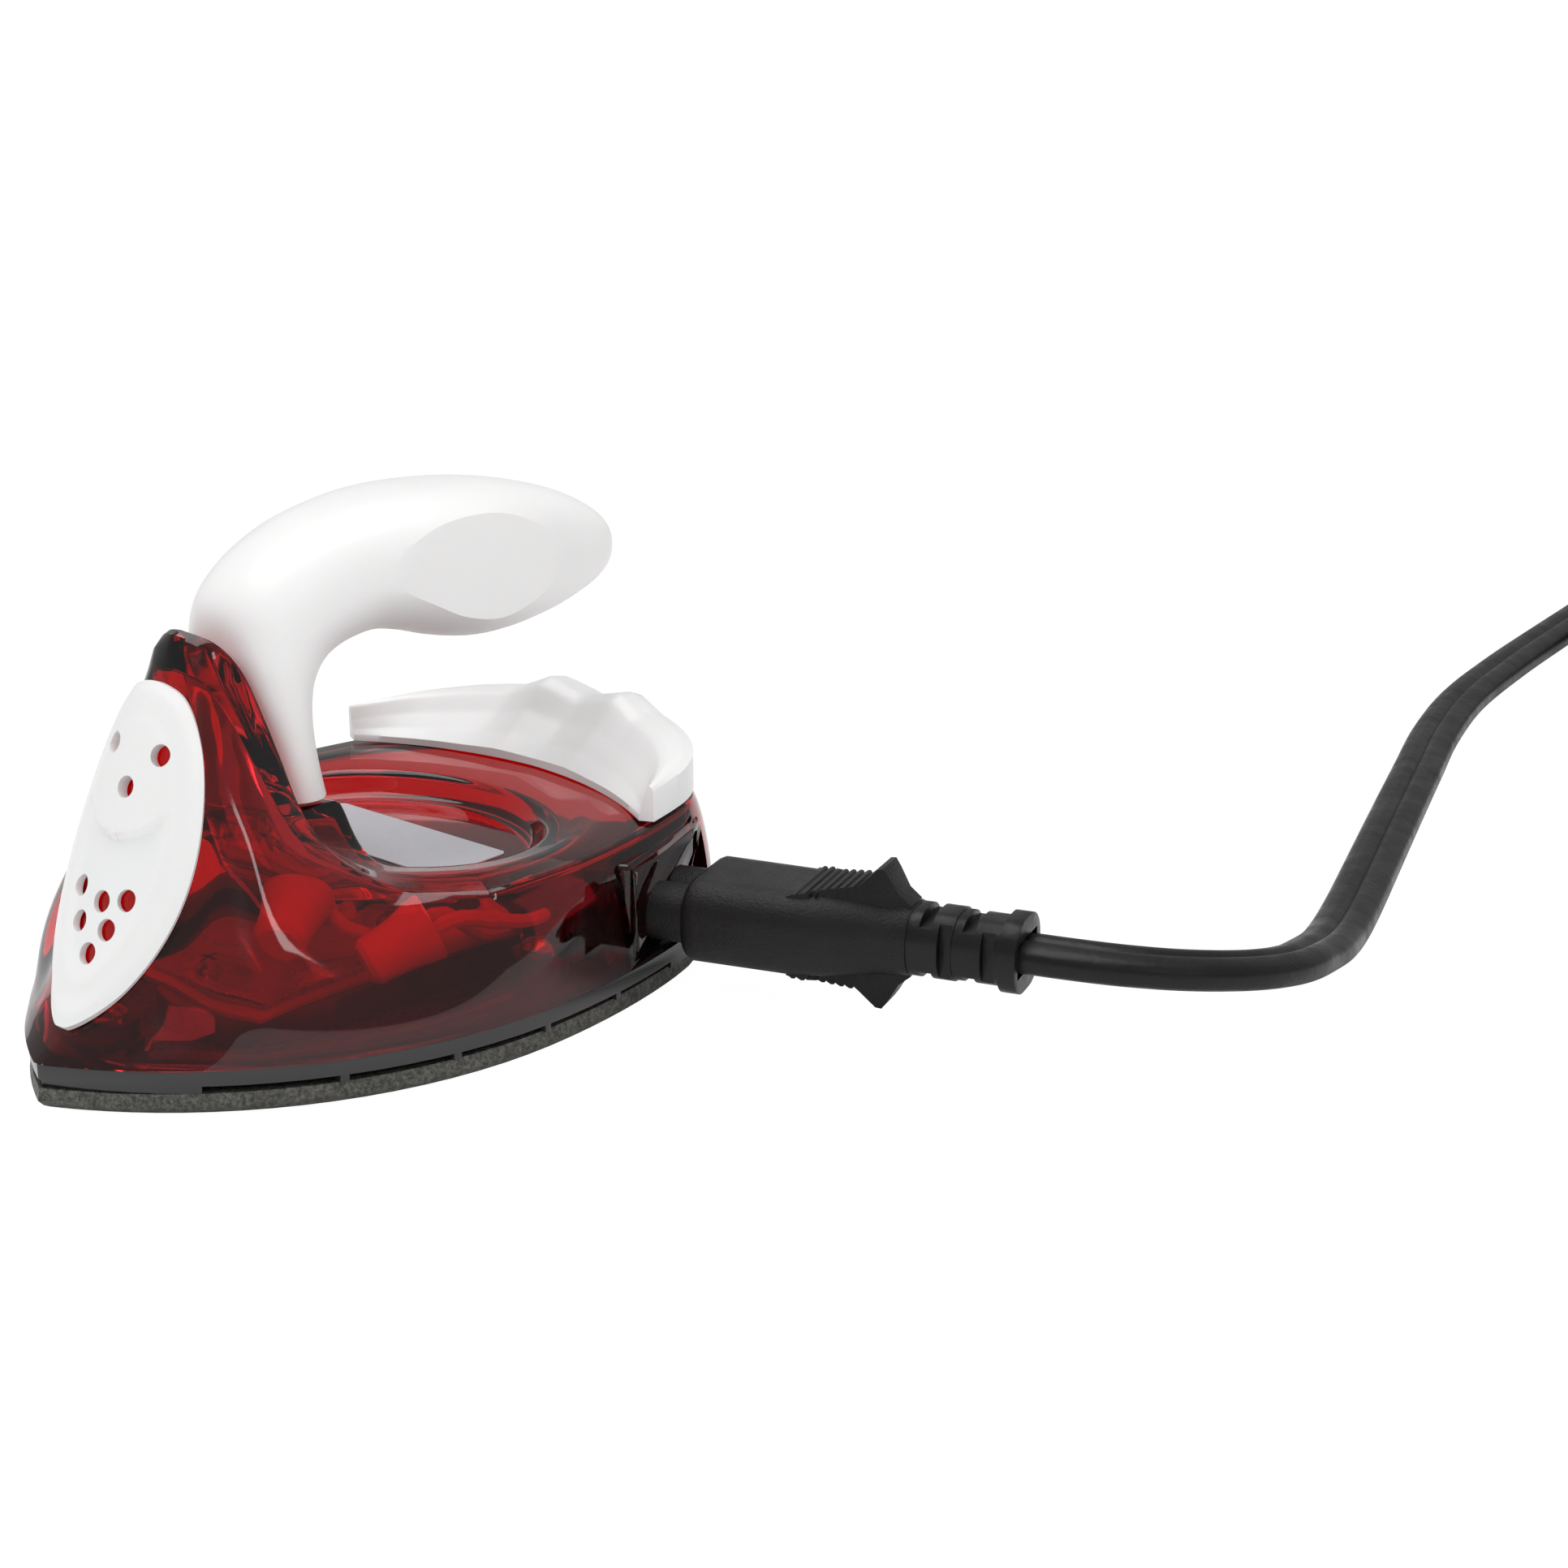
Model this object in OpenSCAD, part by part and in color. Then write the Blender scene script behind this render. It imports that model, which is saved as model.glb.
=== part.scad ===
// Mini travel iron: cast soleplate, clear red shell, white handle, side inlet and detachable lead.
// The nose of the soleplate points along -X, the tail along +X, and the lead comes out of the -Y side.

/* [Soleplate] */
// Length from nose to tail
sole_len = 101; // [90:1:120]
// Widest half width
sole_half = 35; // [28:0.5:42]
// Distance from the nose to the widest place
sole_widest = 55; // [45:1:70]
// Thickness of the cast plate
sole_thick = 3; // [2:0.5:6]

/* [Skirt and shell] */
// Height where the skirt ends and the shell begins
shell_base = 6.2; // [5:0.1:10]
// How far the shell stands out past the soleplate
shell_out = 0.8; // [0:0.1:2]
// Shell wall thickness
shell_wall = 1.8; // [1.2:0.1:3]
// Height of the rim round the tray
rim_z = 23; // [18:0.5:30]
// Height of the top of the front tower
tower_z = 56; // [45:1:65]
// Tray depth below the rim
tray_depth = 3.5; // [2:0.5:8]

/* [Handle] */
// Distance between the two flat grip pads
pad_span = 23.2; // [18:0.2:30]

/* [Inlet and connector] */
// Turn of the inlet face towards the tail
inlet_turn = 18; // [0:1:30]
// Width of the inlet frame
frame_w = 23; // [20:0.5:28]
// Height of the inlet frame
frame_h = 14.6; // [12:0.2:18]
// Gap between the inlet frame and the shoulder of the connector
plug_gap = 6; // [0:0.5:10]
// Spacing of the two inlet pins
pin_pitch = 6.6; // [6:0.1:14]

/* [Cord] */
// Width of the flat two-core cord
cord_w = 8.2; // [5:0.1:10]
// Thickness of the flat two-core cord
cord_t = 4.6; // [2.5:0.1:6]
// Radius of the outer turn of the coil
coil_r = 54; // [44:0.5:60]

/* [Hidden] */
$fn = 48;

nose_x = -sole_len / 2 - 1.5;   // the whole part is drawn from the nose, then centred
shell_len = sole_len + 3;
rear_arc = 105;                 // radius of the outline behind the widest place
ring_n = 84;                    // points round the shell

red = [0.55, 0.02, 0.03];
white = [0.95, 0.95, 0.94];
black = [0.05, 0.05, 0.05];
cast_grey = [0.27, 0.27, 0.24];
steel = [0.72, 0.72, 0.72];
brass = [0.8, 0.65, 0.3];

// ---- outline in plan -------------------------------------------------------------------

function mix(a, b, t) = a * (1 - t) + b * t;
function clamp01(t) = min(1, max(0, t));
function ease(t) = clamp01(t) * clamp01(t) * (3 - 2 * clamp01(t));

// half width of a pointed arch with a rounded tail, at distance x from its nose
function front_r(w, xw) = (xw * xw + w * w) / (2 * w);
function arch_y(x, w, xw) = w - front_r(w, xw) + sqrt(max(0, pow(front_r(w, xw), 2) - pow(xw - x, 2)));
function rear_y(x, w, xw) = w - rear_arc + sqrt(pow(rear_arc, 2) - pow(x - xw, 2));
function tail_k(x, len) = pow(1 - pow(clamp01((x - len + 17) / 17), 2.7), 1 / 2.7);
function half_y(x, len, w, xw) = (x < xw ? arch_y(x, w, xw) : rear_y(x, w, xw)) * tail_k(x, len);

// closed outline, inset by t, with points crowded at both ends
function outline(len, w, xw, t, n = 40) = let (
    side = [for (i = [1 : n - 1]) let (x = t * 1.5 + (len - t * 2.5) * (0.5 - 0.5 * cos(180 * i / n)))
        [x, half_y(x - t * 1.5, len - t * 2.5, w - t, xw - t)]]
) concat([[t * 1.5, 0]], [for (p = side) [p.x, -p.y]], [[len - t, 0]],
         [for (i = [n - 2 : -1 : 0]) side[i]]);

module from_nose() translate([nose_x, 0, 0]) children();

// ---- general solids --------------------------------------------------------------------

// closed solid through rings of equal length, capped at both ends
module skin(rings) {
    n = len(rings[0]);
    m = len(rings);
    pts = [for (r = rings) for (p = r) p];
    sides = [for (j = [0 : m - 2]) for (i = [0 : n - 1])
        let (a = j * n + i, b = j * n + (i + 1) % n) [a, b, b + n, a + n]];
    first = [for (i = [n - 1 : -1 : 0]) i];
    last = [for (i = [0 : n - 1]) (m - 1) * n + i];
    polyhedron(points = pts, faces = concat([first], sides, [last]), convexity = 8);
}

// closed solid between an upper and a lower grid of points
module slab(top, bottom) {
    m = len(top);
    n = len(top[0]);
    k = m * n;
    pts = concat([for (r = top) for (p = r) p], [for (r = bottom) for (p = r) p]);
    upper = [for (j = [0 : m - 2]) for (i = [0 : n - 2])
        let (a = j * n + i) each [[a, a + 1, a + n + 1], [a, a + n + 1, a + n]]];
    lower = [for (f = upper) [f[2] + k, f[1] + k, f[0] + k]];
    edge = concat([for (i = [0 : n - 1]) i], [for (j = [1 : m - 1]) j * n + n - 1],
                  [for (i = [n - 2 : -1 : 0]) (m - 1) * n + i], [for (j = [m - 2 : -1 : 1]) j * n]);
    e = len(edge);
    rim = [for (q = [0 : e - 1]) let (a = edge[q], b = edge[(q + 1) % e])
        each [[b, a, a + k], [b, a + k, b + k]]];
    polyhedron(points = pts, faces = concat(upper, lower, rim), convexity = 8);
}

// catmull-rom point at t in 0..1 along a list of points
function spline(p, t) = let (
    n = len(p) - 1, s = min(n - 0.0001, max(0, t * n)), i = floor(s), u = s - i,
    a = p[max(0, i - 1)], b = p[i], c = p[i + 1], d = p[min(n, i + 2)]
) 0.5 * ((2 * b) + (c - a) * u + (2 * a - 5 * b + 4 * c - d) * u * u
         + (3 * b - a - 3 * c + d) * u * u * u);

function unit(v) = v / norm(v);

// flat tube along points, with its broad side level
module cord_tube(path, w, t, sides = 10) {
    n = len(path);
    dirs = [for (i = [0 : n - 1]) unit(path[min(n - 1, i + 1)] - path[max(0, i - 1)])];
    rings = [for (i = [0 : n - 1])
        let (d = dirs[i], s = unit(cross(d, [0, 0, 1])), u = cross(s, d))
        [for (k = [0 : sides - 1]) let (f = 360 * k / sides)
            path[i] + s * w / 2 * cos(f) + u * t / 2 * sin(f)]];
    skin(rings);
}

// ---- shell surface ---------------------------------------------------------------------

// foot of the shell wall at a in 0 (nose) .. 1 (tail), inset by t
function foot(a, t) = let (
    x = 0.3 + t * 1.6 + (shell_len - 0.3 - t * 2.6) * (0.5 - 0.5 * cos(180 * a)),
    y = half_y(x - t * 1.6, shell_len - t * 2.6, sole_half + shell_out - t, sole_widest - t)
) [x, y, shell_base];

// top edge of the wall, from the tower's top down its back edge and round the rim
edge_pts = [
    [26.3, 0, tower_z], [28, 4.6, 54.6], [30, 6.9, 51], [31.6, 8.7, 45], [32.8, 10.4, 39],
    [34, 12.6, 32], [36, 16.4, 26.8], [40, 23.2, rim_z + 0.2], [48, 30.4, rim_z - 0.8]
];
edge_a = 0.46;                   // where the rim levels out
rim_in = 2.8;
function rim_pt(a) = let (
    x = (shell_len - 2.4) * (0.5 - 0.5 * cos(180 * a)) + 1.2 * (1 - a),
    y = half_y(x, shell_len - 2.4, sole_half + shell_out - rim_in, sole_widest)
) [x, y, rim_z];
function edge_raw(a) = a < edge_a ? spline(edge_pts, a / edge_a)
    : mix(edge_pts[8], rim_pt(a), ease((a - edge_a) / 0.12));
function edge(a, t) = let (p = edge_raw(a))
    [p.x - t * 1.2 * max(ease((a - 0.7) * 4), towerness(a)), p.y - t * 1.3 * ease(a * 8),
     p.z - t * (1 + 1.6 * ease((p.z - rim_z) / 20))];

function lean(v) = 0.82 * v * v + 0.18 * pow(v, 10);
// blunt face: the middle of the nose is cut back to a round front of radius 16
function face_x(z) = 3.95 + 0.426 * (z - shell_base) - 3.7 * exp((shell_base - z) / 1.6);
function blunt(p, t) = let (
    x = face_x(p.z) + p.y * p.y / 32 + 1.2 * t,
    k = 4 * ease((p.z - shell_base) / 8) * ease((tower_z - p.z) / 8),
    w = 1 - ease((abs(p.y) - 12) / 10)
) [mix(p.x, (p.x + x + sqrt(pow(p.x - x, 2) + k * k)) / 2, w), p.y, p.z];
function wall_pt(a, v, t) = let (b = foot(a, t), e = edge(a, t), f = lean(v))
    blunt([mix(b.x, e.x, f), mix(b.y, e.y, f), mix(b.z, e.z, v)], t);

// tray and deck inside the rim
tray_c = 59.5;
tray_rx = 17.5;
tray_ry = 23.5;
ledge_z = 31;
function tray_pt(a, k, z, t) = let (e = edge(a, 0), g = atan2(e.y / tray_ry, (e.x - tray_c) / tray_rx))
    [tray_c + (tray_rx * k + t) * cos(g), (tray_ry * k + t) * sin(g), z - t];
function towerness(a) = ease((edge_raw(a).z - rim_z - 0.5) / 8);
function crest(a, t) = tray_pt(a, 1, mix(rim_z - 0.2, ledge_z, towerness(a)), t);
function ledge(a, t) = let (e = edge(a, t), c = crest(a, t), s = towerness(a))
    [mix(mix(e.x, c.x, 0.5), 33.6 - t, s), mix(mix(e.y, c.y, 0.5), e.y * 0.55, s),
     mix(rim_z - t + 0.5, ledge_z + 0.5 - t, s)];

wall_rings = 11;
function ring(f) = concat(
    [for (i = [0 : ring_n / 2]) let (p = f(i / (ring_n / 2))) [p.x, -p.y, p.z]],
    [for (i = [ring_n / 2 - 1 : -1 : 1]) f(i / (ring_n / 2))]);

function shell_rings(t) = concat(
    [for (j = [0 : wall_rings]) ring(function (a) wall_pt(a, j / wall_rings, t))],
    [for (j = [1 : 3]) ring(function (a) mix(edge(a, t), ledge(a, t), j / 3))],
    [for (j = [1 : 3]) ring(function (a) mix(ledge(a, t), crest(a, t), j / 3))],
    [for (j = [1 : 4]) ring(function (a) let (s = j / 4)
        mix(crest(a, t), tray_pt(a, 0.9, rim_z - tray_depth, t), s))],
    [ring(function (a) tray_pt(a, 0.45, rim_z - tray_depth, t))]
);

module shell_form() {
    outer = shell_rings(0);
    inner = shell_rings(shell_wall);
    rings = concat([for (r = outer) r], [for (j = [len(inner) - 1 : -1 : 0]) inner[j]]);
    n = ring_n;
    m = len(outer);
    pts = [for (r = rings) for (p = r) p];
    sides = [for (j = [0 : 2 * m - 2]) if (j != m - 1) for (i = [0 : n - 1])
        let (a = j * n + i, b = j * n + (i + 1) % n) each [[a, b + n, b], [a, a + n, b + n]]];
    base = [for (i = [0 : n - 1]) let (a = i, b = (i + 1) % n, c = (2 * m - 1) * n)
        each [[b, c + a, a], [b, c + b, c + a]]];
    floor_top = [for (i = [n - 1 : -1 : 0]) (m - 1) * n + i];
    floor_low = [for (i = [0 : n - 1]) m * n + i];
    polyhedron(points = pts, faces = concat(sides, base, [floor_top], [floor_low]), convexity = 10);
}

// ---- inlet place: +Y looks out of the inlet, X runs along the face to the tail ----------

inlet_x = 69;
inlet_y = -34.2;
inlet_z = 6.2;
module at_inlet() from_nose() translate([inlet_x, inlet_y, 0]) rotate([0, 0, inlet_turn])
    mirror([0, 1, 0]) children();
plug_s = 12;                      // along the face
plug_z = 11.8;                    // height of the connector's middle
nose_len = 19;

screw_spots = [[11, 0], [80, 20], [62, -24]];

body_shell();
module body_shell() color(red) {
    difference() {
        union() {
            from_nose() shell_form();
            at_inlet() translate([0, -4, inlet_z]) cube([frame_w, 4.6, frame_h]);
        }
        // the wall bulges past the flat inlet, so it is cut back to the frame
        at_inlet() translate([-0.2, 0.6, inlet_z - 1]) cube([frame_w + 0.4, 6, frame_h + 1]);
        at_inlet() translate([1.6, -7, inlet_z + 1.2]) cube([frame_w - 3.2, 12, frame_h - 2.7]);
        handle_screw_holes(2.7);
    }
}
module handle_screw_holes(d) from_nose() for (y = [-4.5, 4.5]) translate([38, y, 20]) cylinder(d = d, h = 21);

// ---- soleplate, skirt and what sits on the plate -----------------------------------------

soleplate();
module soleplate() color(cast_grey) from_nose() difference() {
    union() {
        skin([
            for (s = [[sole_thick, 0.2], [1.3, 0], [0.5, 0.5], [0, 1.1]])
                [for (p = outline(sole_len, sole_half, sole_widest, s[1])) [p.x, p.y, s[0]]]
        ]);
        for (p = screw_spots) translate([p.x, p.y, sole_thick - 1]) cylinder(d = 6, h = 4);
    }
    for (p = screw_spots) translate([p.x, p.y, 1.6]) cylinder(d = 2.2, h = 6);
}

heater_d = 4.6;
heater_z = sole_thick + heater_d / 2;
heater_half = 12;
heater_end = 68;
heating_element();
module heating_element() color([0.35, 0.33, 0.32]) from_nose()
    translate([0, 0, sole_thick]) linear_extrude(heater_d) difference() {
        union() {
            translate([36, 0]) circle(r = heater_half + heater_d / 2);
            translate([36, -heater_half - heater_d / 2]) square([heater_end - 36, 2 * heater_half + heater_d]);
        }
        translate([36, 0]) circle(r = heater_half - heater_d / 2);
        translate([36, -heater_half + heater_d / 2]) square([41, 2 * heater_half - heater_d]);
    }

heater_terminals();
module heater_terminals() color(steel) from_nose() for (y = [-1, 1])
    translate([heater_end - 0.1, y * heater_half, heater_z]) {
        rotate([0, 90, 0]) cylinder(d = 2, h = 5);
        translate([4, -0.4, -1.6]) cube([6, 0.8, 4.8]);
    }

clamp_spots = [30, 58];
mica_sheet();
module mica_sheet() color([0.62, 0.55, 0.42]) from_nose() difference() {
    translate([24, -13, heater_z + heater_d / 2]) cube([40, 26, 0.5]);
    for (x = clamp_spots) translate([x, 0, 0]) cylinder(d = 5.2, h = 20);
}

element_clamp();
module element_clamp() color(steel) from_nose() difference() {
    union() {
        translate([26, -11, heater_z + heater_d / 2 + 0.5]) cube([36, 22, 1]);
        for (x = clamp_spots) translate([x, 0, sole_thick - 0.5])
            cylinder(d = 5, h = heater_d + 1.2);
    }
    for (x = clamp_spots) translate([x, 0, 0]) cylinder(d = 2.4, h = 20);
}

clamp_top = heater_z + heater_d / 2 + 1.5;
clamp_screws();
module clamp_screws() color(steel) from_nose() for (x = clamp_spots) translate([x, 0, 0]) {
    translate([0, 0, sole_thick - 0.4]) cylinder(d = 2.4, h = clamp_top - sole_thick + 1);
    translate([0, 0, clamp_top]) difference() {
        rotate_extrude() polygon([[0, 0], [2.5, 0], [2.4, 0.8], [1.7, 1.5], [0, 1.7]]);
        translate([-1.6, -0.25, 0.8]) cube([3.2, 0.5, 2]);
        translate([-0.25, -1.6, 0.8]) cube([0.5, 3.2, 2]);
    }
}

thermostat();
module thermostat() color([0.85, 0.82, 0.75]) from_nose() translate([46, 0, clamp_top]) {
    cylinder(d = 14, h = 2.4);
    translate([0, 0, 2.3]) cylinder(d = 11, h = 2.6);
}
thermostat_lugs();
module thermostat_lugs() color(steel) from_nose() for (y = [-1, 1])
    translate([45, y * 3.4 - 0.4, clamp_top + 4.8]) cube([5, 0.8, 1.6]);

thermal_fuse();
module thermal_fuse() color([0.9, 0.88, 0.8]) from_nose() translate([49, -17, clamp_top + 2.6])
    rotate([0, 90, 0]) difference() {
        cylinder(d = 4.4, h = 13);
        translate([0, 0, 11.5]) cylinder(d = 1.6, h = 3);
    }

// closed end crimp caps that join the leads under the front of the tray
cap_spots = [[27.8, -13, 16.7, 30], [36, -19.5, 13.2, -25]];
crimp_caps();
module crimp_caps() color([0.9, 0.85, 0.8]) from_nose() for (c = cap_spots)
    translate([c[0], c[1], c[2]]) rotate([0, 68, c[3]]) rotate_extrude()
        polygon([[0, 0], [2.5, 0], [3.2, 0.7], [3.5, 5], [4.3, 9.5], [3.6, 9.5], [2.8, 5], [0, 4.4]]);

function cap_mouth(c) = let (d = [sin(68) * cos(c[3]), sin(68) * sin(c[3]), cos(68)])
    [c[0], c[1], c[2]] + d * 4.8;
function cap_out(c, k) = let (d = [sin(68) * cos(c[3]), sin(68) * sin(c[3]), cos(68)])
    [c[0], c[1], c[2]] + d * k;
lead_d = 2;
lead_ends = [
    [cap_spots[0], 0.9, [[38.4, -8.4, 17.2], [43.4, -8, 15.2], [47.2, -3.4, 15.3]]],
    [cap_spots[0], -0.9, [[38.6, -12.2, 16.4], [44, -15.4, 13.2], [48.9, -17, clamp_top + 2.6]]],
    [cap_spots[1], 0.9, [[54, -21.6, 13], [60, -20, 12], [62.2, -17, clamp_top + 2.6]]],
    [cap_spots[1], -0.9, [[54, -25, 15.4], [60, -23.6, 13.6], [65, -21.8, 12.8]]]
];
lead_wires();
module lead_wires() color([0.9, 0.9, 0.9]) from_nose() for (w = lead_ends) {
    side = [0, w[1] * 1.6, 0];
    path = concat([cap_mouth(w[0]) + side, cap_out(w[0], 12) + side], w[2]);
    cord_tube([for (i = [0 : 14]) spline(path, i / 14)], lead_d, lead_d, 8);
}

skirt_low = sole_thick;
slot_h = 1.1;
heat_skirt();
module heat_skirt() color(black) from_nose() difference() {
    union() {
        translate([0, 0, skirt_low]) linear_extrude(slot_h)
            polygon(outline(shell_len, sole_half + shell_out, sole_widest, 1.7));
        translate([0, 0, skirt_low + slot_h]) linear_extrude(shell_base - skirt_low - slot_h)
            translate([0.3, 0]) polygon(outline(shell_len - 0.3, sole_half + shell_out, sole_widest, 0));
        translate([0, 0, skirt_low]) linear_extrude(slot_h) intersection() {
            translate([0.3, 0]) polygon(outline(shell_len - 0.3, sole_half + shell_out, sole_widest, 0.3));
            union() {
                translate([-1, -50]) square([13, 100]);
                translate([79, -50]) square([40, 100]);
                for (x = [25, 38.6, 52.3, 66]) translate([x, -50]) square([1, 100]);
            }
        }
        for (p = screw_spots) translate([p.x, p.y, skirt_low]) cylinder(d = 8, h = 6);
    }
    // well over the heating element
    translate([0, 0, skirt_low - 1]) linear_extrude(8) difference() {
        polygon(outline(shell_len - 8, sole_half - 4, sole_widest - 4, 4));
        for (p = screw_spots) translate([p.x, p.y]) circle(d = 9);
    }
    for (p = screw_spots) translate([p.x, p.y, 0]) {
        cylinder(d = 6.3, h = skirt_low + 3.2);
        cylinder(d = 2.8, h = 20);
    }
}

shell_screws();
module shell_screws() color(brass) from_nose() for (p = screw_spots)
    translate([p.x, p.y, 0]) {
        translate([0, 0, 2.4]) cylinder(d = 2.2, h = 6.8);
        translate([0, 0, skirt_low + 6]) intersection() {
            cylinder(d = 5.4, h = 3);
            translate([0, 0, -1.6]) sphere(d = 7.2);
        }
    }

// ---- face plate --------------------------------------------------------------------------

plate_mid = 29.4;
plate_up = 20.2;
plate_a = 0.16;
plate_gap = 0.25;
plate_thick = 1.5;
// point on the shell at a and height z, moved out by d
function shell_at(a, z) = let (s = a < 0 ? -1 : 1, e = edge(abs(a), 0),
    p = wall_pt(abs(a), (z - shell_base) / (e.z - shell_base), 0)) [p.x, -s * p.y, p.z];
function shell_out_at(a, z, d) = let (p = shell_at(a, z), k = 0.004,
    n = unit(cross(shell_at(a + k, z) - shell_at(a - k, z), shell_at(a, z + 0.3) - shell_at(a, z - 0.3))))
    p + n * d;
function plate_pt(r, g, d) = let (
    z = plate_mid + plate_up * r * sin(g),
    wide = plate_a * (1 + 0.05 * sin(g))
) shell_out_at(wide * r * cos(g), z, d);

face_plate();
module face_plate() color(white) from_nose() difference() {
    plate_form();
    for (h = face_holes) let (p = shell_at(h[0], h[1]), n = shell_out_at(h[0], h[1], 1) - p)
        translate(p - n * 3) orient(n) cylinder(d = h[2], h = 8, $fn = 24);
}
module orient(n) rotate([0, acos(n.z), atan2(n.y, n.x)]) children();
// place along the ring, height and bore of each hole: two eyes, a nose, and a 3-2-1 group
face_holes = [
    [-0.067, 41.4, 2.8], [0.067, 41.4, 2.8], [0, 37.2, 2.8],
    [-0.08, 24.7, 2.8], [0, 24, 2.8], [0.08, 24.7, 2.8],
    [-0.055, 21, 2.8], [0.055, 21, 2.8], [0, 17.9, 2.8]
];
module plate_form() {
    gn = 44;
    steps = [0.04, 0.22, 0.42, 0.62, 0.8, 0.92, 1];
    crown = [0, 0, 0, 0, 0, -0.1, -0.55];
    front = [for (i = [0 : 6]) [for (j = [0 : gn - 1])
        plate_pt(steps[i], 360 * j / gn, plate_gap + plate_thick + crown[i])]];
    back = [for (i = [6 : -1 : 0]) [for (j = [0 : gn - 1]) plate_pt(steps[i], 360 * j / gn, plate_gap)]];
    skin(concat(front, back));
}

// ---- handle ------------------------------------------------------------------------------

// front or top point, rear or lower point, and half width of each section
handle_cuts = [
    [[34.6, 31.9], [44.2, 31.9], 8.6],
    [[34, 36], [43.2, 35.6], 8.8],
    [[33.2, 41], [42.4, 40], 9],
    [[31.9, 47], [42.6, 44], 9.2],
    [[31.2, 52.5], [43.8, 46.8], 9.4],
    [[32.6, 58], [46.2, 48.8], 9.6],
    [[37.4, 62.4], [50, 50], 10.2],
    [[44.4, 65.6], [54.5, 50.3], 11],
    [[52.4, 67.2], [59.5, 49.2], 12.6],
    [[60.6, 67.8], [64.5, 47.6], 14.6],
    [[68.6, 67.6], [70, 46.4], 15],
    [[76.4, 66.8], [76, 45.9], 13.2],
    [[84, 65.2], [82.4, 46.1], 11.2],
    [[90.4, 63], [88.4, 47], 9.8],
    [[95.4, 60.2], [93.6, 48.8], 8.4],
    [[98.4, 57.2], [97.2, 51.4], 5]
];
// keystone section: rounded back, widest at mid height, bevelled underside
function handle_ring(c, n = 36) = let (
    top = [c[0].x, 0, c[0].y], low = [c[1].x, 0, c[1].y], mid = (top + low) / 2, up = (top - low) / 2
) [for (i = [0 : n - 1]) let (g = 360 * i / n, s = sin(g), q = cos(g),
    wide = sign(s) * pow(abs(s), 0.74) * (1 - 0.2 * pow(clamp01(-q), 1.5)),
    high = sign(q) * pow(abs(q), 0.9))
    mid + up * high + [0, c[2] * wide, 0]];
module handle_form() intersection() {
    skin([for (i = [0 : 30]) let (t = i / 30)
        handle_ring([for (k = [0 : 2]) spline([for (c = handle_cuts) c[k]], t)])]);
    translate([0, -pad_span / 2, 0]) cube([120, pad_span, 80]);
}
module handle_half(side) color(white) from_nose() difference() {
    intersection() {
        handle_form();
        translate([0, side > 0 ? 0 : -20, 0]) cube([120, 20, 80]);
    }
    for (y = [-4.5, 4.5]) translate([38, y, 30]) cylinder(d = 2, h = 11);
}
handle_left();
module handle_left() handle_half(-1);
handle_right();
module handle_right() handle_half(1);

handle_screws();
module handle_screws() color(steel) from_nose() for (y = [-4.5, 4.5]) translate([38, y, 0]) {
    translate([0, 0, 28]) cylinder(d = 2, h = 12);
    translate([0, 0, 26.2]) difference() {
        cylinder(d = 4.6, h = 1.9);
        translate([-1.6, -0.3, -0.1]) cube([3.2, 0.6, 0.9]);
    }
}

// ---- heel rest ----------------------------------------------------------------------------

heel_a = 0.655;                   // place along the rim where its front corner lies
heel_front_r = 58;
heel_peaks = [[0, 7.4], [7, 9.2], [12, 7], [20, 6.2], [26, 5.4], [31, 4.4], [34, 3.6]];
heel_rise = [[0, 0.1], [0.2, 0.26], [0.42, 0.56], [0.6, 0.92], [0.72, 1], [0.88, 0.96], [1, 0.86]];
function heel_side(s) = rim_pt(mix(heel_a, 1, s)) + [0.4, 0, 0];
function heel_arc(s) = let (y = heel_side(0).y * (1 - s) * 0.985)
    [28 + sqrt(pow(heel_front_r, 2) - y * y) - (1 - s) * 0.8, y, rim_z];
function heel_plan(s, v) = let (q = abs(s), p = mix(heel_arc(q), heel_side(q), v))
    [p.x, s < 0 ? p.y : -p.y];
function heel_top(s, v) = let (p = heel_plan(s, v))
    [p.x, p.y, rim_z + 0.9 + lookup(abs(p.y), heel_peaks) * lookup(v, heel_rise)];
function heel_low(s, v) = let (p = heel_plan(s, v)) [p.x, p.y, rim_z + 0.55];
heel_n = 22;
heel_rest();
module heel_rest() color(white) from_nose() {
    ss = [for (i = [0 : heel_n]) (1 - abs(2 * i / heel_n - 1) * 0.93)];
    places = [for (i = [0 : heel_n]) (i < heel_n / 2 ? -1 : 1) * ss[i]];
    slab([for (s = places) [for (j = [0 : 10]) heel_top(s, j / 10)]],
         [for (s = places) [for (j = [0 : 10]) heel_low(s, j / 10)]]);
}

tray_label();
module tray_label() color([0.8, 0.8, 0.8]) from_nose()
    translate([52.6, -16, rim_z - tray_depth]) linear_extrude(0.15) label_shape();
module label_shape() {
    translate([1, 0]) square([10.6, 33]);
    translate([0, 1]) square([12.6, 31]);
    for (x = [1, 11.6]) for (y = [1, 32]) translate([x, y]) circle(r = 1, $fn = 20);
}

// ---- inlet and connector --------------------------------------------------------------------

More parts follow.
